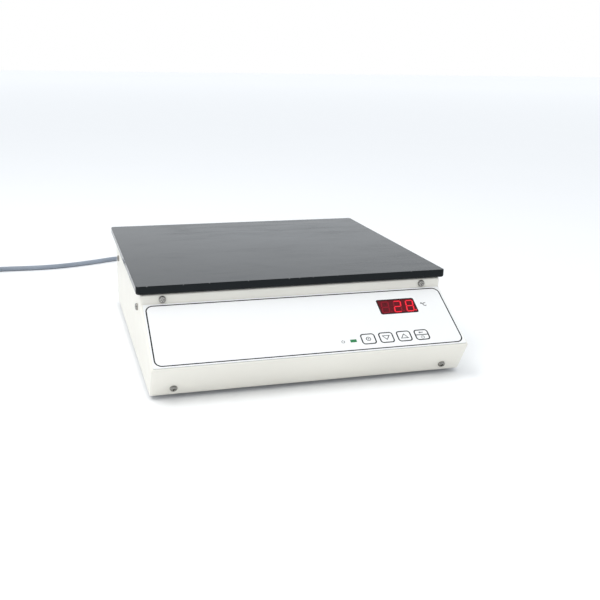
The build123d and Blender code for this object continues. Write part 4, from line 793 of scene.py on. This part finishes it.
# Strain reliefs
def relief_ribs(name, relief, materials):
    """Moulded rings round a tapered strain relief that points to the back."""
    start, (first, last), length = relief
    start, length = mm(start), length * MM
    along = Vector((0, 1, 0))
    art = bmesh.new()
    side = along.orthogonal().normalized()
    other = along.cross(side)
    half = length / RELIEF_RINGS * RING_SHARE / 2
    bevel, stand, sink = RING_BEVEL * MM, RING_STAND * MM, RING_SINK * MM
    for i in range(RELIEF_RINGS):
        t = (i + 0.35) / RELIEF_RINGS
        radius = (first + (last - first) * t) * MM
        profile = (
            (-half, radius - sink),
            (-half + bevel, radius + stand),
            (half - bevel, radius + stand * 0.92),
            (half, radius - sink),
        )
        rings = []
        for offset, reach in profile:
            centre = start + along * (length * t + offset)
            rings.append(
                [
                    art.verts.new(
                        centre
                        + side * reach * math.cos(2 * math.pi * k / RING_STEPS)
                        + other * reach * math.sin(2 * math.pi * k / RING_STEPS)
                    )
                    for k in range(RING_STEPS)
                ]
            )
        for a, b in zip(rings, rings[1:] + rings[:1]):
            for k in range(RING_STEPS):
                after = (k + 1) % RING_STEPS
                art.faces.new((a[k], a[after], b[after], b[k]))
    bmesh.ops.recalc_face_normals(art, faces=art.faces)
    mesh = bpy.data.meshes.new(name)
    art.to_mesh(mesh)
    art.free()
    mesh.shade_smooth()
    show(name, mesh, materials["grey_pvc"])


# Marks on the mains switch
def rocker_face(half):
    """Maps flat marks onto the upper (1) or lower (-1) half of the rocker's face."""
    turn = ROCKER_TILT - half * ROCKER_FACE
    out = Vector((0, math.cos(turn), math.sin(turn)))
    up = Vector((0, -math.sin(turn), math.cos(turn)))
    ridge = out * ROCKER_RIDGE * math.cos(ROCKER_FACE)
    ridge += up * ROCKER_RIDGE * math.sin(half * ROCKER_FACE)

    def place(across, down, height):
        return (ROCKER_PIVOT + Vector((-across, 0, 0)) + ridge + out * height - up * down) * MM

    return place


def switch_marks(materials):
    """A bar for on and a ring for off, printed on the rocker."""
    bar, ring = Print(rocker_face(1)), Print(rocker_face(-1))
    bar.line([(0, -down) for down in MARK_BAR], MARK_BAR_LINE, False, MARK_LIFT)
    ring.line(circle_loop(0, MARK_RING, MARK_RING_RADIUS), MARK_RING_LINE, True, MARK_LIFT)
    for name, art in (("switch_mark_on", bar), ("switch_mark_off", ring)):
        show(name, art.finish(name), materials["white_ink"], "rocker")


# Stage, light and world
def stage():
    """A pale floor that keeps the object's shadow."""
    mesh = bpy.data.meshes.new("floor")
    corners = ((-1, -1), (1, -1), (1, 1), (-1, 1))
    mesh.from_pydata(
        [(x * FLOOR_REACH, y * FLOOR_REACH, 0) for x, y in corners],
        [],
        [(0, 1, 2, 3)],
    )
    floor = bpy.data.objects.new("floor", mesh)
    floor.location.z = -FLOOR_DROP
    bpy.context.scene.collection.objects.link(floor)
    s = Surface("floor_paper", (0.94, 0.943, 0.948), 0.9)
    s.paint(s.shade(0.01, s.noise(3, 2)))
    s.shader.inputs["Emission Color"].default_value = (0.97, 0.98, 1.0, 1)
    path = s.add("ShaderNodeLightPath").outputs
    seen = s.maths("MAXIMUM", path["Is Camera Ray"], path["Is Glossy Ray"])
    away = s.add("ShaderNodeVectorMath", Vector=s.place)
    away.operation = "LENGTH"
    lift = s.span(away.outputs["Value"], *FLOOR_FADE, FLOOR_LIFT, FLOOR_LIFT + FAR_LIFT)
    s.feed(s.shader.inputs["Emission Strength"], s.maths("MULTIPLY", seen, lift))
    mesh.materials.append(s.material)


def lamp():
    """A square soft lamp, high at the left."""
    data = bpy.data.lights.new("key", "AREA")
    data.shape = "SQUARE"
    data.size = LAMP_SIZE
    data.energy = LAMP_POWER
    data.color = LAMP_COLOUR
    light = bpy.data.objects.new("key", data)
    light.location = LAMP_PLACE
    look = Vector(LAMP_TARGET) - Vector(LAMP_PLACE)
    light.rotation_euler = look.to_track_quat("-Z", "Y").to_euler()
    bpy.context.scene.collection.objects.link(light)


def world():
    """A white room: brighter behind and above than in front."""
    scene_world = bpy.data.worlds.new("world")
    bpy.context.scene.world = scene_world
    scene_world.use_nodes = True
    tree = scene_world.node_tree
    back = tree.nodes["Background"]
    place = tree.nodes.new("ShaderNodeTexCoord")
    split = tree.nodes.new("ShaderNodeSeparateXYZ")
    tree.links.new(place.outputs["Generated"], split.inputs[0])
    towards = tree.nodes.new("ShaderNodeMapRange")
    tree.links.new(split.outputs["Y"], towards.inputs["Value"])
    towards.inputs["From Min"].default_value = SKY_TURN[0]
    towards.inputs["From Max"].default_value = SKY_TURN[1]
    towards.inputs["To Min"].default_value = WORLD_FRONT
    towards.inputs["To Max"].default_value = WORLD_BACK
    path = tree.nodes.new("ShaderNodeLightPath")
    seen = tree.nodes.new("ShaderNodeMapRange")
    tree.links.new(path.outputs["Is Camera Ray"], seen.inputs["Value"])
    tree.links.new(towards.outputs["Result"], seen.inputs["To Min"])
    seen.inputs["To Max"].default_value = 1.0
    tree.links.new(seen.outputs["Result"], back.inputs["Strength"])
    tone = tree.nodes.new("ShaderNodeMix")
    tone.data_type = "RGBA"
    tree.links.new(path.outputs["Is Camera Ray"], tone.inputs["Factor"])
    tone.inputs[6].default_value = (*SKY_COLOUR, 1)
    tone.inputs[7].default_value = (1, 1, 1, 1)
    tree.links.new(tone.outputs[2], back.inputs["Color"])


add_camera()
materials = slot_materials()
materials["ink"] = ink("panel_ink", (0.012, 0.012, 0.014))
materials["white_ink"] = ink("white_ink", (0.8, 0.8, 0.78))
materials["segment_lit"] = lit("segment_lit", (0.6, 0.012, 0.02), 0.55, (1.0, 0.03, 0.06))
# The unlit segments glow faintly: a painted glow, though they are switched off
materials["segment_unlit_painted_glow"] = lit("segment_unlit_painted_glow", (0.24, 0.008, 0.018), 0.08, (0.5, 0.02, 0.05))
add_cord(materials)

for part in frame["record"]["subparts"]:
    node = frame["nodes"][part["node"]]
    node.data.materials.clear()
    node.data.materials.append(materials[part["material_slot"]])

panel_print(materials)
display(materials)
switch_marks(materials)
relief_ribs("connector_relief_ribs", CONNECTOR_RELIEF, materials)
relief_ribs("plug_relief_ribs", PLUG_RELIEF, materials)

stage()
lamp()
world()
bpy.context.scene.view_settings.view_transform = "Standard"
